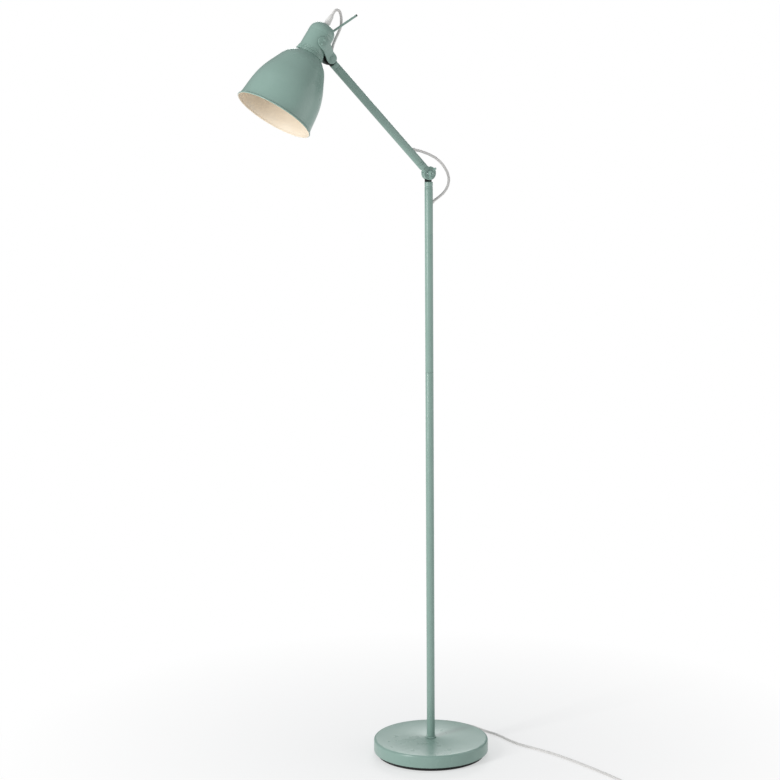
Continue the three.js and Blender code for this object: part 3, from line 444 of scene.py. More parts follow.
def lengthOf(path):
    return sum((Vector(b) - Vector(a)).length for a, b in zip(path, path[1:]))


def centreOf(points):
    line = meshOf(curveThrough("centreline", points, 0))
    path = [tuple(vertex.co) for vertex in line.data.vertices]
    bpy.data.objects.remove(line)
    return path


def looseLoop(name, points, node):
    path = centreOf(points)
    loop = meshOf(curveThrough(name, points, cord["radius"]))
    loop.data.materials.clear()
    loop.data.materials.append(extrudedVinyl)
    pick(loop)
    bpy.ops.object.mode_set(mode="EDIT")
    bpy.ops.mesh.select_all(action="SELECT")
    bpy.ops.mesh.remove_doubles(threshold=0.01 * mm)
    faceOutwards()
    bpy.ops.object.shade_smooth_by_angle(angle=math.radians(50))
    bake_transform(loop)
    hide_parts(node)
    print(name, "is", round(lengthOf(path), 4), "m")


looseLoop("elbowCordLoop", cord["elbowLoop"], "cord_elbow_loop")
looseLoop("headCordLoop", cord["headLoop"][::-1], "cord_head_loop")

mainsPoints = [*cord["floorRun"], *coilPoints(), *cord["toPlug"]]
mainsLength = lengthOf(centreOf(mainsPoints))
mainsCord = curveThrough("mainsCord", mainsPoints, cord["radius"])
mainsCord.data.materials.append(extrudedVinyl)
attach(mainsCord, "stand")
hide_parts("cord_floor_run", "cord_coil_run", "cord_coil", "cord_plug_run")
print("mains cord is", round(mainsLength, 4), "m")


# ---- more shaping helpers
# Points of a quarter ellipse from (outer radius, low height) in to (inner radius, high height).
def dome(outer, low, inner, high, steps=14):
    turns = [step / steps * math.pi / 2 for step in range(steps + 1)]
    return [(inner + (outer - inner) * math.cos(t), low + (high - low) * math.sin(t)) for t in turns]


# A flat outline with round ends along Y, raised from one height to another.
def stadiumBlock(name, halfWidth, halfStraight, low, high):
    bpy.ops.mesh.primitive_circle_add(vertices=72, radius=halfWidth * mm, fill_type="NGON",
                                      location=(0, 0, low * mm))
    piece = startPiece(name)
    bpy.ops.object.transform_apply()
    for side in (-1, 1):
        selectWhere(piece, "VERT", lambda vertex: vertex.co.y * side > 0.0001 * mm)
        bpy.ops.transform.translate(value=(0, side * halfStraight * mm, 0))
        bpy.ops.object.mode_set(mode="OBJECT")
    bpy.ops.object.mode_set(mode="EDIT")
    bpy.ops.mesh.select_all(action="SELECT")
    bpy.ops.mesh.extrude_region_move(TRANSFORM_OT_translate={"value": (0, 0, (high - low) * mm)})
    faceOutwards()
    return piece


# A body whose rounded-square section changes along Z: each section is (height, width, depth).
def loftPiece(name, sections, squareness=3.4):
    height, width, depth = sections[0]
    bpy.ops.mesh.primitive_circle_add(vertices=48, radius=mm, fill_type="NGON")
    piece = startPiece(name)
    for vertex in piece.data.vertices:
        x, y = vertex.co.x / mm, vertex.co.y / mm
        size = (abs(x) ** squareness + abs(y) ** squareness) ** (-1 / squareness) / 2
        vertex.co = (x * size * width * mm, y * size * depth * mm, height * mm)
    bpy.ops.object.mode_set(mode="EDIT")
    bpy.ops.mesh.select_all(action="SELECT")
    for nextHeight, nextWidth, nextDepth in sections[1:]:
        bpy.ops.mesh.extrude_region_move(TRANSFORM_OT_translate={"value": (0, 0, (nextHeight - height) * mm)})
        bpy.ops.transform.resize(value=(nextWidth / width, nextDepth / depth, 1),
                                 center_override=(0, 0, nextHeight * mm))
        height, width, depth = nextHeight, nextWidth, nextDepth
    faceOutwards()
    return piece


# A sheet between two edges, given as points in the XZ plane.
def sheetBetween(name, lowEdge, highEdge):
    bpy.ops.mesh.primitive_grid_add(x_subdivisions=len(lowEdge) - 1, y_subdivisions=1, size=2)
    piece = startPiece(name)
    for vertex in piece.data.vertices:
        along = round((vertex.co.x + 1) / 2 * (len(lowEdge) - 1))
        x, z = lowEdge[along] if vertex.co.y < 0 else highEdge[along]
        vertex.co = (x * mm, 0, z * mm)
    return piece


# A tapered strain relief along Z, with ribs that let it bend, and a collar on its root.
def ribbedRelief(name, look):
    bore, root, tip, start, end = look["bore"], look["root"], look["tip"], look["start"], look["end"]
    profile = [(bore, start + 1), (bore, look["stemFrom"], 0.2), (look["stem"], look["stemFrom"], 0.3),
               (look["stem"], start, 0.1), (root, start, 0.5), (root, start + look["collar"], 0.5)]
    pitch = (end - start - look["collar"] - 2) / look["ribs"]
    for rib in range(look["ribs"]):
        foot = start + look["collar"] + rib * pitch
        share = (rib + 0.5) / look["ribs"]
        wide = root - 0.35 + (tip - root + 0.35) * share
        profile += [(wide - look["cut"], foot + 0.1, 0.2), (wide - look["cut"], foot + pitch * 0.3, 0.2),
                    (wide, foot + pitch * 0.42, 0.3), (wide, foot + pitch * 0.94, 0.3)]
    profile += [(tip, end - 1.4, 0.3), (tip, end, 0.5), (bore, end, 0.3), (bore, start + 1)]
    return turnPiece(name, softened(profile), 48)


def keepNode(node, material):
    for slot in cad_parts[node].material_slots:
        slot.material = material


# ---- foot
footCover = {
    "profile": [(5.3, 32.2), (5.3, 33, 0.3), (115, 33, 5), (115, 7.5, 1.2), (104, 7.3, 0.3), (104, 8.6, 0.3),
                (113.4, 8.8, 0.5), (113.4, 31.4, 8), (5.3, 31.4, 0.2), (5.3, 32.2)],
    "bushAngle": 45, "bushHeight": 14, "bushHole": 5.9,
}
bushTurn = math.radians(footCover["bushAngle"])
bushWay = Vector((math.cos(bushTurn), math.sin(bushTurn), 0))
bushAt = Vector((0, 0, footCover["bushHeight"]))
roundCover = turnPiece("roundCover", softened(footCover["profile"]), 160)
drill(roundCover, footCover["bushHole"], bushAt + bushWay * 105, bushAt + bushWay * 125)
settle(roundCover, "stand", "green_paint", ["base_cover"])

footPad = [(0, 0), (60, 0), (60, 0.8), (62, 0.8), (62, 0), (84, 0), (84, 0.8), (86, 0.8), (86, 0), (108, 0, 1.2),
           (108, 7, 0.6), (100, 7, 0.6), (100, 3.5, 0.3), (0, 3.5)]
settle(turnPiece("floorPad", softened(footPad), 128), "stand", "black_rubber", ["base_pad"])

bushRelief = ribbedRelief("cordBush", {
    "bore": cordBore, "root": 6.6, "tip": 3.7, "stem": 4.9, "stemFrom": 107.4, "start": 115.1, "end": 141,
    "collar": 2, "ribs": 6, "cut": 0.6})
place(bushRelief, Matrix.Translation(bushAt * mm) @ bushWay.to_track_quat("Z", "Y").to_matrix().to_4x4())
settle(bushRelief, "stand", "white_plastic", ["base_cord_bush"])
keepNode("base_weight", sandCastIron)
keepNode("base_stud", brightZincPlate)
keepNode("base_stud_nut", brightZincPlate)
print("foot done")

# ---- pole
poleTubes = {"bore": 6.5, "radius": 8, "foot": 36.2, "seam": 777.3, "top": 1136.7, "holeHeight": 1111, "holeTurn": 60,
             "cordHole": 4.3}


def tubeBetween(name, low, high):
    middle, bore, radius = (low + high) / 2, poleTubes["bore"], poleTubes["radius"]
    return turnPiece(name, softened([(bore, middle), (bore, low, 0.3), (radius, low, 0.4), (radius, high, 0.4),
                                     (bore, high, 0.3), (bore, middle)]), 64)


# A thin flexible sleeve that keeps the cord off the edge of its hole; it sits in the hole's own frame.
def holeSleeve(name, where, body, node):
    profile = [(cordBore, -2), (cordBore, -5, 0.2), (3.7, -5, 0.3), (3.7, 0.6, 0.2), (4.1, 0.8, 0.2),
               (4.1, 2, 0.5), (cordBore, 2, 0.3), (cordBore, -2)]
    sleeve = place(turnPiece(name, softened(profile), 40), where)
    return settle(sleeve, body, "white_plastic", [node])


def holeAt(x, y, z, turn, axis):
    return Matrix.Translation((x * mm, y * mm, z * mm)) @ Matrix.Rotation(math.radians(turn), 4, axis)


def drillHole(piece, where):
    start, end = where @ Vector((0, 0, -6 * mm)), where @ Vector((0, 0, 8 * mm))
    drill(piece, poleTubes["cordHole"], start / mm, end / mm, 40)


collarProfile = [(5.3, 45), (5.3, 33.3, 0.2), (10.5, 33.3, 0.4), (10.5, 35.9, 1), (6.2, 35.9, 0.2), (6.2, 57.9, 0.5),
                 (5.3, 57.9, 0.2), (5.3, 45)]
settle(turnPiece("poleCollar", softened(collarProfile), 64), "stand", "green_paint", ["pole_foot"])
settle(tubeBetween("poleLower", poleTubes["foot"], poleTubes["seam"]), "stand", "green_paint",
       ["lower_pole"])
poleUpper = tubeBetween("poleUpper", poleTubes["seam"] + 0.3, poleTubes["top"])
poleHole = holeAt(poleTubes["radius"], 0, poleTubes["holeHeight"], poleTubes["holeTurn"], "Y")
drillHole(poleUpper, poleHole)
settle(poleUpper, "stand", "green_paint", ["upper_pole"])
holeSleeve("poleSleeve", poleHole, "stand", "pole_cord_sleeve")
keepNode("pole_coupler", brightZincPlate)
keepNode("cord_in_pole", extrudedVinyl)
print("pole done")

# ---- knuckles at the elbow and at the arm's end
knuckle = {"spigot": 6.2, "radius": 8, "waist": 7.3, "collar": 13.4, "spigotLength": 16, "bolt": 2.8,
           "neck": 7.8, "disc": 13.3, "inner": 0.8, "outer": 6, "lap": 16.4, "eye": 12, "eyeHalf": 3.6, "eyeLap": 13,
           "hub": 8, "hubHalf": 11}


def knuckleRoot(name, below):
    bottom = -below - knuckle["collar"]
    wide, waist = knuckle["radius"], knuckle["waist"]
    profile = [(0, bottom - knuckle["spigotLength"]), (knuckle["spigot"], bottom - knuckle["spigotLength"], 0.6),
               (knuckle["spigot"], bottom, 0.1), (wide, bottom, 0.4), (wide, bottom + 3.5, 0.3),
               (waist, bottom + 3.6, 0.1), (waist, bottom + 4.5, 0.1), (wide, bottom + 4.6, 0.3),
               (wide, -below, 1.2), (0, -below)]
    return turnPiece(name, softened(profile), 64)


# A slice of the round bar, as wide as the root.
def flatNeck(low, high, foot, top):
    neck = boxBetween((-10, low, foot), (10, high, top))
    combine(neck, rodBetween(knuckle["neck"], (0, 0, foot - 1), (0, 0, top + 1), 64), "INTERSECT")
    bevelEdges(neck, 0.5)
    return neck


# One half of the elbow: a disc with a turned ring on its open face, and a flat neck down to the round root.
def lapHalf(name):
    piece = knuckleRoot(name, knuckle["lap"])
    combine(piece, flatNeck(knuckle["inner"], knuckle["outer"], -knuckle["lap"] - 1, -6.5), "UNION")
    inner, outer, disc = knuckle["inner"], knuckle["outer"], knuckle["disc"]
    face = [(0, inner), (disc, inner, 0.5), (disc, outer, 0.8), (11.2, outer, 0.2), (10.9, outer - 0.5, 0.2),
            (10.2, outer - 0.5, 0.2), (9.9, outer, 0.2), (0, outer)]
    combine(piece, place(turnPiece("disc", softened(face), 96), toY), "UNION")
    drill(piece, knuckle["bolt"], (0, -20, 0), (0, 20, 0))
    return piece


elbowLow = lapHalf("elbowLowerHalf")
elbowHigh = copyOf(elbowLow, "elbowUpperHalf")
elbowLow.data.materials.append(greenPowderCoat)
# Painted shade: the recessed neck between the disc and the collar is coloured black to stand in for the shadow that
# falls there.
paintWhere(elbowLow, blackSteelAndPaintedShade, lambda face: -16.6 * mm < face.calc_center_median().z < -12.6 * mm
           and abs(face.normal.z) < 0.9 and face.calc_center_median().y > 0.7 * mm
           and abs(face.calc_center_median().x) < 8.2 * mm)
place(elbowLow, elbowFrame)
settle(elbowLow, "stand", "green_paint", ["pole_knuckle"])
place(elbowHigh, armFrame @ Matrix.Rotation(math.radians(180), 4, "X"))
settle(elbowHigh, "arm", "green_paint", ["arm_lower_knuckle"])

eye = knuckleRoot("armEye", knuckle["eyeLap"])
eyeHalf = knuckle["eyeHalf"]
combine(eye, flatNeck(-eyeHalf, eyeHalf, -14, -1), "UNION")
eyeDisc = softened([(0, -eyeHalf), (knuckle["eye"], -eyeHalf, 0.8), (knuckle["eye"], eyeHalf, 0.8), (0, eyeHalf)])
combine(eye, place(turnPiece("disc", eyeDisc, 96), toY), "UNION")
hub, hubHalf = knuckle["hub"], knuckle["hubHalf"]
eyeHub = softened([(0, -hubHalf), (hub, -hubHalf, 0.5), (hub, hubHalf, 0.5), (0, hubHalf)])
combine(eye, place(turnPiece("hub", eyeHub, 64), toY), "UNION")
drill(eye, knuckle["bolt"], (0, -20, 0), (0, 20, 0))
eye.data.materials.append(greenPowderCoat)
# The eye, its hub and its neck are coloured black: partly their own dark finish, partly painted shade for the dark
# gap between the yoke's cheeks.
paintWhere(eye, blackSteelAndPaintedShade, lambda face: face.calc_center_median().z > -12.9 * mm)
place(eye, pivotFrame)
settle(eye, "arm", "green_paint", ["arm_upper_knuckle"])
keepNode("elbow_friction_disc", naturalNylon)
print("knuckles done")

# ---- elbow bolt, washer and wing nut
threadCut = [point for step in range(12) for point in ((2.5, -16 + step * 0.8), (2.15, -15.6 + step * 0.8))]
boltProfile = softened([(0, -16.8), (2, -16.8, 0.2), *threadCut, (2.5, -6.4), (2.5, 6.3, 0.1), (6, 6.3, 0.3),
                        (6, 7.9, 1.6), (3.4, 9.3, 2), (0, 9.3)])
coachBolt = turnPiece("elbowCoachBolt", boltProfile, 48)
coachBolt.data.materials.append(brightZincPlate)
paintWhere(coachBolt, greenPowderCoat, lambda face: face.calc_center_median().z < -14 * mm)
place(coachBolt, elbowFrame @ toY)
settle(coachBolt, "stand", "zinc_steel", ["elbow_bolt"])
washerProfile = softened([(2.8, -6.9), (2.8, -7.5, 0.2), (6.4, -7.5, 0.4), (6.4, -6.3, 0.2), (2.8, -6.3, 0.2),
                          (2.8, -6.9)])
flatWasher = place(turnPiece("elbowFlatWasher", washerProfile, 64), elbowFrame @ toY)
settle(flatWasher, "stand", "zinc_steel", ["elbow_washer"])

wingShape = {
    "hub": [(2.8, 3), (2.8, 0, 0.3), (6.2, 0, 0.4), (6.2, 1.4, 0.5), (4.8, 7, 0.9), (2.8, 7, 0.4), (2.8, 3)],
    "lowEdge": [(3.2, 1.2), (5.6, 1.3), (8.4, 1.9), (10.9, 3.6), (12.5, 6.4), (12.6, 9)],
    "highEdge": [(3.2, 6), (5.2, 6.8), (6.6, 7.6), (7.5, 8.8), (8.3, 10.6), (10.2, 11.7)],
    "thickness": 2.4, "turn": 60, "foot": -7.8,
}
wing = sheetBetween("wing", wingShape["lowEdge"], wingShape["highEdge"])
addModifier(wing, "SOLIDIFY", thickness=wingShape["thickness"] * mm, offset=0)
pick(wing)
bpy.ops.object.mode_set(mode="EDIT")
faceOutwards()
bevelEdges(wing, 0.5, 2)
addModifier(wing, "SUBSURF", levels=2, render_levels=2)
otherWing = place(copyOf(wing, "otherWing"), Matrix.Rotation(math.pi, 4, "Z"))
wingNut = turnPiece("elbowWingNut", softened(wingShape["hub"]), 64)
combine(wingNut, wing, "UNION")
combine(wingNut, otherWing, "UNION")
place(wingNut, elbowFrame @ Matrix.Translation((0, wingShape["foot"] * mm, 0))
      @ Matrix.Rotation(math.radians(-wingShape["turn"]), 4, "Y") @ toMinusY)
settle(wingNut, "wing_nut", "green_paint", ["elbow_wing_nut"])
print("elbow hardware done")

# ---- arm
arm = {"low": 30.1, "high": 281.3, "backHole": (8, 0, 56, 142, "Y"), "sideHole": (0, 8, 262, -52, "X")}
armTube = tubeBetween("armTube", arm["low"], arm["high"])
backHole, sideHole = holeAt(*arm["backHole"]), holeAt(*arm["sideHole"])
drillHole(armTube, backHole)
drillHole(armTube, sideHole)
place(armTube, armFrame)
settle(armTube, "arm", "green_paint", ["arm_tube"])
holeSleeve("armBackSleeve", armFrame @ backHole, "arm", "arm_elbow_sleeve")
holeSleeve("armSideSleeve", armFrame @ sideHole, "arm", "arm_head_sleeve")
keepNode("cord_in_arm", extrudedVinyl)
print("arm done")

# ---- shade
bell = {
    "outer": [(74.1, 4.2), (72.5, 14), (70.5, 35), (67.3, 55), (61.3, 75), (52.4, 95), (44.2, 112), (38.6, 120),
              (32.7, 126), (27.9, 130.2)],
    "wall": 1.2, "bead": (74.9, 1.3, 1.35), "neck": [(27.3, 130.9), (26.6, 131), (20.4, 131, 0.2),
                                                 (20.4, 129.8, 0.2), (26, 129.8)],
}
beadSide, beadHeight, beadRadius = bell["bead"]
beadTurns = [math.radians(155 + 275 * step / 16) for step in range(17)]
rim = [(beadSide + beadRadius * math.cos(turn), beadHeight + beadRadius * math.sin(turn)) for turn in beadTurns]
outside = smoothLine(bell["outer"], 5)
inside = [(radius - bell["wall"], height - bell["wall"] * 0.8) for radius, height in outside[1:]][::-1]
bellShade = turnPiece("bellShade", [*rim, *outside, *softened(bell["neck"]), *inside, rim[0]], 160)
bellShade.data.materials.append(greenPowderCoat)


# The inner wall faces the axis, and the inside of the top faces down.
def facesInwards(face):
    middle, normal = face.calc_center_median(), face.normal
    return normal.x * middle.x + normal.y * middle.y < -0.2 * mm * mm or (normal.z < -0.5 and middle.z > 0.12)


paintWhere(bellShade, creamStoveEnamel, facesInwards)
place(bellShade, headFrame)
settle(bellShade, "head", "green_paint", ["shade"])

ringProfile = [(19.9, 132.5), (19.9, 131.3, 0.2), (27.9, 131.3, 0.6), (27.9, 133.9, 0.9), (19.9, 133.9, 0.2),
               (19.9, 132.5)]
neckRing = place(turnPiece("shadeNeckRing", softened(ringProfile), 128), headFrame)
settle(neckRing, "head", "green_paint", ["shade_collar_ring"])
print("shade done")

# ---- lampholder cap, gland and handle
holderCap = {
    "outer": [(23.6, 160), (23.6, 134.2, 0.3), (27.2, 134.2, 0.5), (27.2, 136.5, 0.9), (25.2, 137, 0.3),
              (26.7, 137.7, 0.5), (26.7, 139.6, 0.9), (25.1, 140.3, 0.3), (25.9, 140.9, 0.4), (25.9, 142.2, 0.6),
              (25, 142.8, 0.4), (25, 177.4, 0.1), (24.7, 177.6, 0.1), (24.7, 178, 0.1), (25, 178.2, 0.1)],
    "dome": (25, 178.7, 9.5, 197.7), "inside": (23.6, 178.7, 9.5, 196.3), "glandHole": 6.7,
    "handleSide": 17.01, "handleHeight": 195.32, "handleLean": 25, "rivets": (156.5, 165.5), "rivetHole": 1.8,
}
handleFrame = holeAt(holderCap["handleSide"], 0, holderCap["handleHeight"], holderCap["handleLean"], "Y")
capProfile = [*softened([*holderCap["outer"], holderCap["dome"][:2]]), *dome(*holderCap["dome"])[1:],
              *softened([(9.5, 197.7), (holderCap["glandHole"], 197.7, 0.3), (holderCap["glandHole"], 196.3, 0.3),
                         (9.5, 196.3)])[1:],
              *dome(*holderCap["inside"])[::-1][1:], (23.6, 160)]
domedCap = turnPiece("domedCap", capProfile, 128)
drill(domedCap, 2.45, handleFrame @ Vector((0, 0, -0.012)) / mm, handleFrame @ Vector((0, 0, 0.012)) / mm)
for height in holderCap["rivets"]:
    drill(domedCap, holderCap["rivetHole"], (0, -32, height), (0, 32, height))
place(domedCap, headFrame)
settle(domedCap, "head", "green_paint", ["lampholder_cap"])

glandProfile = [(cordBore, 200), (cordBore, 194, 0.2), (7.4, 194, 0.3), (7.4, 196, 0.2), (6.4, 196, 0.1),
                (6.4, 200.6, 0.7), (6, 201.2, 0.3), (6, 202, 0.3), (5.5, 208, 3), (4.1, 218.5, 2),
                (3.6, 220.7, 0.6), (cordBore, 220.7, 0.2), (cordBore, 200)]
gland = place(turnPiece("cordGland", softened(glandProfile), 64), headFrame)
settle(gland, "head", "white_plastic", ["cap_strain_relief"])
keepNode("cord_in_cap", extrudedVinyl)

handleProfile = [(0, -14.4), (2.15, -14.4, 0.3), (2.15, 59, 0.2), (1.95, 59.2), (1.95, 59.5), (2.15, 59.7, 0.2),
                 (2.15, 62, 1.2), (0, 62)]
handleRod = turnPiece("handleBar", softened(handleProfile), 40)
handleRod.data.materials.append(greenPowderCoat)
paintWhere(handleRod, blackMouldedRubber, lambda face: face.calc_center_median().z > 59.4 * mm)
place(handleRod, headFrame @ handleFrame)
settle(handleRod, "head", "green_paint", ["handle_rod"])
print("cap and handle done")

# ---- lampholder
threadSteps = [point for step in range(6) for point in ((19.6, 113.4 + step * 1.5), (19.1, 114.1 + step * 1.5))]
holderProfile = [(13.9, 140), (13.9, 112, 0.4), (19.1, 112, 0.8), (19.1, 113, 0.1), *threadSteps, (19.6, 123),
                 (19.6, 166, 2), (15.6, 174, 2), (cordBore, 174, 0.3), (cordBore, 166, 0.3), (13.9, 166, 0.5),
                 (13.9, 140)]
holderBody = place(turnPiece("holderBody", softened(holderProfile), 96), headFrame)
settle(holderBody, "head", "white_plastic", ["lampholder_body"])

gripProfile = [(19.9, 126), (19.9, 122.5, 0.3), (24, 122.5, 0.5), (24, 129.5, 0.5), (19.9, 129.5, 0.3), (19.9, 126)]
gripRing = turnPiece("holderRing", softened(gripProfile), 120)


# Every other upright face of the rim, so that a grip of narrow grooves is left between the ribs.
def isGroove(face):
    middle = face.calc_center_median()
    turn = math.degrees(math.atan2(middle.y, middle.x)) % 360
    return middle.xy.length > 23.5 * mm and abs(face.normal.z) < 0.2 and int(turn / 3) % 2 == 0


pick(gripRing)
selectWhere(gripRing, "FACE", isGroove)
bpy.ops.mesh.inset(thickness=0.12 * mm, depth=-0.5 * mm, use_individual=True)
bpy.ops.object.mode_set(mode="OBJECT")
place(gripRing, headFrame)
settle(gripRing, "head", "white_plastic", ["lampholder_ring"])

# The rolled thread of the screw shell: one pitch of its wave, wound up as a screw.
shellShape = {"radius": 13.1, "wave": 0.34, "pitch": 3.6, "foot": 141.9, "turns": 6.5, "wall": 0.3}
bpy.ops.mesh.primitive_plane_add(size=mm)
screwShell = startPiece("screwShell")
bpy.ops.object.mode_set(mode="EDIT")
bpy.ops.mesh.select_mode(type="VERT")
bpy.ops.mesh.select_all(action="SELECT")
bpy.ops.mesh.merge(type="CENTER")
bpy.ops.transform.translate(value=((shellShape["radius"] + shellShape["wave"]) * mm, 0, shellShape["foot"] * mm))
reach = shellShape["wave"]
for step in range(1, 13):
    nextReach = shellShape["wave"] * math.cos(step / 12 * 2 * math.pi)
    bpy.ops.mesh.extrude_region_move(
        TRANSFORM_OT_translate={"value": ((nextReach - reach) * mm, 0, shellShape["pitch"] / 12 * mm)})
    reach = nextReach
bpy.ops.object.mode_set(mode="OBJECT")
addModifier(screwShell, "SCREW", screw_offset=shellShape["pitch"] * mm, steps=64, render_steps=64,
            iterations=6, use_merge_vertices=True, merge_threshold=0.01 * mm)
pick(screwShell)
bpy.ops.object.mode_set(mode="EDIT")
bpy.ops.mesh.select_all(action="SELECT")
bpy.ops.mesh.remove_doubles(threshold=0.01 * mm)
for height, clearsTop in ((145.3, False), (165.5, True)):
    bpy.ops.mesh.select_all(action="SELECT")
    bpy.ops.mesh.bisect(plane_co=(0, 0, height * mm), plane_no=(0, 0, 1), clear_outer=clearsTop,
                        clear_inner=not clearsTop)
faceOutwards()
addModifier(screwShell, "SOLIDIFY", thickness=shellShape["wall"] * mm, offset=-1)
place(screwShell, headFrame)
settle(screwShell, "head", "brass", ["lampholder_screw_shell"], 60)

contactProfile = [(0, 163.5), (2.2, 163.5, 0.6), (2.9, 164.2, 0.4), (4.5, 164.5, 0.3), (4.5, 165.7, 0.3), (0, 165.7)]
contactDisc = place(turnPiece("centreContact", softened(contactProfile), 48), headFrame)
settle(contactDisc, "head", "brass", ["lampholder_contact"])
print("lampholder done")

# ---- yoke
yoke = {
    "start": (0, 161), "end": (38, 151), "halfWidth": 10.3, "thickness": 2, "rootSide": 26.7, "flatSide": 12.3,
    "bends": (10.6, 32.8), "bendReach": 2.2,
}


# Half the gap between the cheeks at a place along the head's X.
def cheekSide(x):
    first, second = yoke["bends"]
    slope = (yoke["flatSide"] - yoke["rootSide"]) / (second - first)

    def eased(distance):
        reach = yoke["bendReach"]
        if distance <= -reach:
            return 0
        return distance if distance >= reach else (distance + reach) ** 2 / (4 * reach)

    return yoke["rootSide"] + slope * (eased(x - first) - eased(x - second))


def yokeCheek(name, side, nodes):
    start, end = Vector(yoke["start"]), Vector(yoke["end"])
    way = end - start
    lean = math.atan2(way.y, way.x)
    bpy.ops.mesh.primitive_circle_add(vertices=80, radius=yoke["halfWidth"] * mm, fill_type="NGON",
                                      rotation=(math.radians(90), 0, 0))
    piece = startPiece(name)
    bpy.ops.object.transform_apply()
    selectWhere(piece, "VERT",
                lambda vertex: vertex.co.x * math.cos(lean) + vertex.co.z * math.sin(lean) > 0.01 * mm)
    bpy.ops.transform.translate(value=(way.x * mm, 0, way.y * mm))
    for bend in yoke["bends"]:
        for step in range(-3, 4):
            bpy.ops.mesh.select_all(action="SELECT")
            bpy.ops.mesh.bisect(plane_co=((bend + step * yoke["bendReach"] / 3) * mm, 0, 0), plane_no=(1, 0, 0))
    bpy.ops.object.mode_set(mode="OBJECT")
    for vertex in piece.data.vertices:
        vertex.co.y = side * cheekSide(vertex.co.x / mm) * mm
        vertex.co.z += start.y * mm
    addModifier(piece, "SOLIDIFY", thickness=yoke["thickness"] * mm, offset=0, use_even_offset=True)
    pick(piece)
    bpy.ops.object.mode_set(mode="EDIT")
    faceOutwards()
    bevelEdges(piece, 0.45, 3, 60)
    for height in holderCap["rivets"]:
        drill(piece, holderCap["rivetHole"], (0, side * 20, height), (0, side * 35, height))
    drill(piece, knuckle["bolt"], (end.x, side * 8, end.y), (end.x, side * 18, end.y))
    place(piece, headFrame)
    settle(piece, "head", "green_paint", nodes, 30)


yokeCheek("yokeNearCheek", -1, ["yoke_cheek_near"])
yokeCheek("yokeFarCheek", 1, ["yoke_cheek_far"])

rivetProfile = softened([(0, 22), (2.4, 22, 0.4), (2.4, 23, 0.2), (1.5, 23), (1.5, 28), (3, 28, 0.2), (3, 28.4, 0.4),
                         (1.8, 29.3, 0.8), (0, 29.4)])
rivetStart = turnPiece("yokeRivetNear1", rivetProfile, 40)
for label, facing, side in (("Near", toMinusY, -1), ("Far", toY, 1)):
    for number, height in enumerate(holderCap["rivets"], 1):
        rivet = copyOf(rivetStart, f"yokeRivetHead{label}{number}")
        place(rivet, headFrame @ Matrix.Translation((0, 0, height * mm)) @ facing)
        settle(rivet, "head", "green_paint", [f"yoke_rivet_{label.lower()}_{number}"])
bpy.data.objects.remove(rivetStart)

pivotProfile = [(0, -13.6), (4.6, -13.6, 0.1), (4.6, -13.9, 0.2), (3, -14.35, 1), (0, -14.4)]
pivotThread = [point for step in range(7) for point in ((2.5, 20.2 - step * 0.8), (2.15, 19.8 - step * 0.8))]
pivotShank = [(0, 20.9), (2.1, 20.9, 0.3), *pivotThread, (2.5, 14), (2.5, -13.8), (0, -13.8)]
pivotBolt = turnPiece("pivotBolt", softened(pivotProfile), 64)
combine(pivotBolt, turnPiece("shank", softened(pivotShank), 48), "UNION")
place(pivotBolt, pivotFrame @ toY)
settle(pivotBolt, "head", "green_paint", ["head_pivot_bolt"])

lockNut = turnPiece("pivotLockNut", softened([(0, 13.6), (4.96, 13.6, 0.3), (4.96, 17, 0.3), (0, 17)]), 6)
nutChamfer = softened([(0, 13.4), (4.6, 13.45), (5.2, 14.1), (5.2, 16.4), (4.5, 17.2), (0, 17.3)])
combine(lockNut, turnPiece("chamfer", nutChamfer, 64), "INTERSECT")
nylonRing = softened([(0, 16.4), (3.8, 16.4, 0.1), (3.8, 17.8, 0.6), (3.2, 18.2, 0.3), (0, 18.2)])
combine(lockNut, turnPiece("nylonRing", nylonRing, 64), "UNION")
drill(lockNut, 2.8, (0, 0, 10), (0, 0, 30))
place(lockNut, pivotFrame @ toY)
settle(lockNut, "head", "zinc_steel", ["head_pivot_nut"], 30)
print("yoke done")

# ---- foot switch
footSwitch = {
    "centre": (227, -447), "halfWidth": 22, "halfStraight": 12, "split": 9, "gap": 0.3, "height": 22, "wall": 2.2,
    "cordHeight": 6.2, "cordHole": 4.3, "buttonRadius": 13, "buttonHole": 13.6,
}
switchFrame = Matrix.Translation((footSwitch["centre"][0] * mm, footSwitch["centre"][1] * mm, 0))
switchEnd = footSwitch["halfWidth"] + footSwitch["halfStraight"]


def drillCordWay(piece):
    drill(piece, footSwitch["cordHole"], (0, -40, footSwitch["cordHeight"]), (0, 40, footSwitch["cordHeight"]))


def stadiumHalf(name, low, high, topRound, bottomRound):
    piece = stadiumBlock(name, footSwitch["halfWidth"], footSwitch["halfStraight"], low, high)
    for height, size, steps in ((high, topRound, 6), (low, bottomRound, 3)):
        pick(piece)
        selectWhere(piece, "VERT", lambda vertex: abs(vertex.co.z - height * mm) < 0.01 * mm)
        bpy.ops.mesh.bevel(offset=size * mm, segments=steps, affect="EDGES")
        bpy.ops.object.mode_set(mode="OBJECT")
    return piece


lowerShell = stadiumHalf("switchLowerShell", 0, footSwitch["split"], 0.4, 1)
inner = footSwitch["halfWidth"] - footSwitch["wall"]
lowerHollow = stadiumBlock("hollow", inner, footSwitch["halfStraight"], footSwitch["wall"], 12)
combine(lowerShell, lowerHollow, "DIFFERENCE")
drillCordWay(lowerShell)
place(lowerShell, switchFrame)
settle(lowerShell, "stand", "white_plastic", ["foot_switch_lower"])

upperShell = stadiumHalf("switchUpperShell", footSwitch["split"] + footSwitch["gap"], footSwitch["height"], 5, 0.4)
hollowTop = footSwitch["height"] - footSwitch["wall"]
upperHollow = stadiumBlock("hollow", inner - 2.4, footSwitch["halfStraight"], 7, hollowTop)
combine(upperShell, upperHollow, "DIFFERENCE")
drill(upperShell, footSwitch["buttonHole"], (0, 0, 8), (0, 0, 30), 96)
drillCordWay(upperShell)
place(upperShell, switchFrame)
settle(upperShell, "stand", "white_plastic", ["foot_switch_upper"])

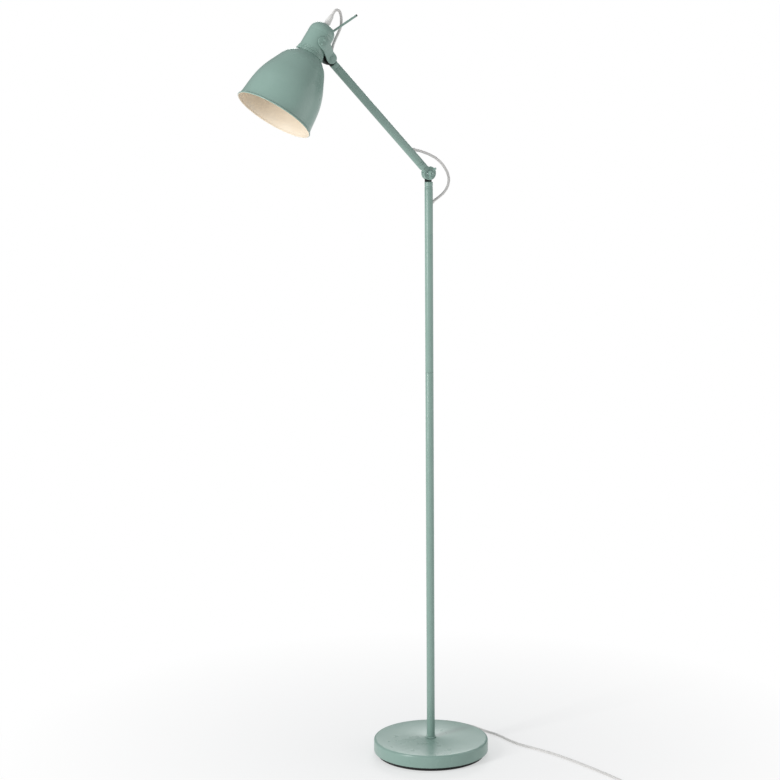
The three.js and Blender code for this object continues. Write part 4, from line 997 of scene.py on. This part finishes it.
buttonSide = footSwitch["buttonRadius"]
buttonProfile = [(0, 18), (buttonSide, 18, 0.4), (buttonSide, 25.9, 1.5), (11.6, 27, 1), (9.4, 26.8, 1.4),
                 (4, 26, 2), (0, 25.9)]
switchButton = place(turnPiece("switchPushButton", softened(buttonProfile), 96), switchFrame)
settle(switchButton, "switch_button", "white_plastic", ["foot_switch_button"])
keepNode("foot_switch_mechanism", mouldedBlackNylon)

reliefLook = {"bore": cordBore, "root": 5, "tip": 3.6, "stem": 4, "stemFrom": -5, "start": 0, "end": 20,
              "collar": 1.6, "ribs": 5, "cut": 0.5}
for label, facing, side in (("Lamp", toY, 1), ("Plug", toMinusY, -1)):
    relief = ribbedRelief(f"switchRelief{label}", reliefLook)
    place(relief, switchFrame @ Matrix.Translation(
        (0, side * (switchEnd + 0.3) * mm, footSwitch["cordHeight"] * mm)) @ facing)
    settle(relief, "stand", "white_plastic", [f"foot_switch_relief_{label.lower()}"])
print("foot switch done")

# ---- plug, with two round pins
plug = {
    "place": (110, -409.7, 6.8), "tailLength": 20, "pinPitch": 18.6, "pinRoot": 27.3, "pinEnd": 55,
    "sections": [(0, 10, 9.6), (0.8, 12.4, 11), (3, 16.5, 12.2), (7, 21.5, 12.8), (12, 26.6, 13), (18, 31.4, 13),
                 (23, 33.6, 13), (28, 34, 13), (34.2, 34, 13), (35.4, 33.2, 12.2), (36, 31.6, 10.6)],
}
plugFrame = Matrix.Translation(Vector(plug["place"]) * mm)
plugBody = loftPiece("plugBody", plug["sections"])
for side in (-1, 1):
    drill(plugBody, 2.3, (side * plug["pinPitch"] / 2, 0, 27), (side * plug["pinPitch"] / 2, 0, 40))
drill(plugBody, cordBore, (0, 0, -2), (0, 0, 4))
plugTail = ribbedRelief("plugTail", {**reliefLook, "stemFrom": -0.6, "stem": 4.2, "end": plug["tailLength"]})
place(plugTail, Matrix.Rotation(math.pi, 4, "X"))
combine(plugBody, plugTail, "UNION")
place(plugBody, plugFrame @ toY)
settle(plugBody, "stand", "white_plastic", ["plug_body"])

pinProfile = [(0, plug["pinRoot"]), (2, plug["pinRoot"], 0.2), (2, 45.9, 0.1), (1.85, 46), (1.85, 46.3),
              (2, 46.4, 0.1), (2, plug["pinEnd"], 1.9), (0, plug["pinEnd"])]
for label, side in (("Left", -1), ("Right", 1)):
    pin = turnPiece(f"plugPin{label}", softened(pinProfile), 40)
    pin.data.materials.append(brightZincPlate)
    paintWhere(pin, mouldedWhiteAbs, lambda face: face.calc_center_median().z < 46.1 * mm)
    place(pin, plugFrame @ Matrix.Translation((side * plug["pinPitch"] / 2 * mm, 0, 0)) @ toY)
    settle(pin, "stand", "zinc_steel", [f"plug_pin_{label.lower()}"])
print("plug done")

# ---- tie on the coil
tie = {"width": 9, "thickness": 1, "inside": (20.5, 1.1, 37.5, 17.1)}
nearSide, tieLow, farSide, tieHigh = tie["inside"]
halfTie, thick = tie["width"] / 2, tie["thickness"]
band = boxBetween((nearSide - thick, -halfTie, tieLow - thick), (farSide + thick, halfTie, tieHigh + thick))
bevelEdges(band, 2, 5)
bandInside = boxBetween((nearSide, -halfTie - 1, tieLow), (farSide, halfTie + 1, tieHigh))
bevelEdges(bandInside, 1.2, 4)
combine(band, bandInside, "DIFFERENCE")
band.name = "cordTieBand"
place(band, Matrix.Translation((coil["centre"][0] * mm, coil["centre"][1] * mm, 0)))
settle(band, "stand", "black_plastic", ["cord_tie"])

# ---- floor and light
studio = {
    "floorRadius": 60, "floorLevel": -0.0005, "floorPaint": "#f2f2f2", "floorGlow": 0.84,
    "fadeFrom": 0.1, "fadeTo": 0.9, "fadeLeast": 0.5,
    "sky": "#f2f5f7", "skyLow": 0.12, "skyHigh": 0.64,
    "keyPlace": (-3.6, -0.6, 1.75), "keySize": (0.6, 2.7), "keyPower": 102,
    "fillPlace": (2.7, -1.9, 1.4), "fillSize": (2.6, 2.4), "fillPower": 21,
    "rimPlace": (1.6, 2.6, 2.2), "rimSize": (1.4, 1.4), "rimPower": 28,
    "aim": (-0.1, 0, 0.95),
}
bpy.ops.mesh.primitive_circle_add(vertices=96, radius=studio["floorRadius"], fill_type="NGON",
                                  location=(0, 0, studio["floorLevel"]))
studioFloor = startPiece("studioFloor")

# A studio's white floor: the paint's shade shows near the lamp, and further out it burns out to white.
floorPaint = bpy.data.materials.new("mattWhiteFloorPaint")
floorPaint.use_nodes = True
floorPaint.node_tree.nodes.clear()
floorWhere = addNode(floorPaint, "ShaderNodeTexCoord")
floorReach = addNode(floorPaint, "ShaderNodeVectorMath", links={"Vector": (floorWhere, "Object")},
                     operation="LENGTH")
floorFade = addNode(floorPaint, "ShaderNodeMapRange",
                    {"From Min": studio["fadeFrom"], "From Max": studio["fadeTo"],
                     "To Min": studio["fadeLeast"], "To Max": 1}, {"Value": (floorReach, "Value")})
floorMatt = addNode(floorPaint, "ShaderNodeBsdfPrincipled",
                    {"Base Color": colour(studio["floorPaint"]), "Roughness": 0.8})
floorRay = addNode(floorPaint, "ShaderNodeLightPath")
floorGlow = addNode(floorPaint, "ShaderNodeMapRange", {"To Min": studio["floorGlow"], "To Max": 1},
                    {"Value": (floorRay, "Is Camera Ray")})
floorLit = addNode(floorPaint, "ShaderNodeEmission", {"Color": (1, 1, 1, 1)}, {"Strength": (floorGlow, "Result")})
floorBlend = addNode(floorPaint, "ShaderNodeMixShader", None, {"Fac": (floorFade, "Result")})
floorPaint.node_tree.links.new(floorMatt.outputs["BSDF"], floorBlend.inputs[1])
floorPaint.node_tree.links.new(floorLit.outputs["Emission"], floorBlend.inputs[2])
addNode(floorPaint, "ShaderNodeOutputMaterial", links={"Surface": (floorBlend, "Shader")})
studioFloor.data.materials.append(floorPaint)

world = bpy.data.worlds.new("softStudio")
scene.world = world
world.use_nodes = True
world.node_tree.nodes.clear()
lightPath = addNode(world, "ShaderNodeLightPath")
seen = addNode(world, "ShaderNodeBackground", {"Color": (1, 1, 1, 1), "Strength": 1})
skyWhere = addNode(world, "ShaderNodeTexCoord")
skyParts = addNode(world, "ShaderNodeSeparateXYZ", links={"Vector": (skyWhere, "Generated")})
skyGlow = addNode(world, "ShaderNodeMapRange", {"To Min": studio["skyLow"], "To Max": studio["skyHigh"]},
                  {"Value": (skyParts, "Z")})  # brighter overhead than at the horizon
lighting = addNode(world, "ShaderNodeBackground", {"Color": colour(studio["sky"])}, {"Strength": (skyGlow, "Result")})
eitherWay = addNode(world, "ShaderNodeMixShader", None, {"Fac": (lightPath, "Is Camera Ray")})
world.node_tree.links.new(lighting.outputs["Background"], eitherWay.inputs[1])
world.node_tree.links.new(seen.outputs["Background"], eitherWay.inputs[2])
addNode(world, "ShaderNodeOutputWorld", links={"Surface": (eitherWay, "Shader")})


def softBox(name, position, size, power):
    data = bpy.data.lights.new(name, "AREA")
    data.shape = "RECTANGLE"
    data.size, data.size_y = size
    data.energy = power
    lamp = bpy.data.objects.new(name, data)
    scene.collection.objects.link(lamp)
    lamp.location = position
    lamp.rotation_euler = (Vector(studio["aim"]) - Vector(position)).to_track_quat("-Z", "Y").to_euler()


softBox("keyLight", studio["keyPlace"], studio["keySize"], studio["keyPower"])
softBox("fillLight", studio["fillPlace"], studio["fillSize"], studio["fillPower"])
softBox("rimLight", studio["rimPlace"], studio["rimSize"], studio["rimPower"])
print("lights placed")
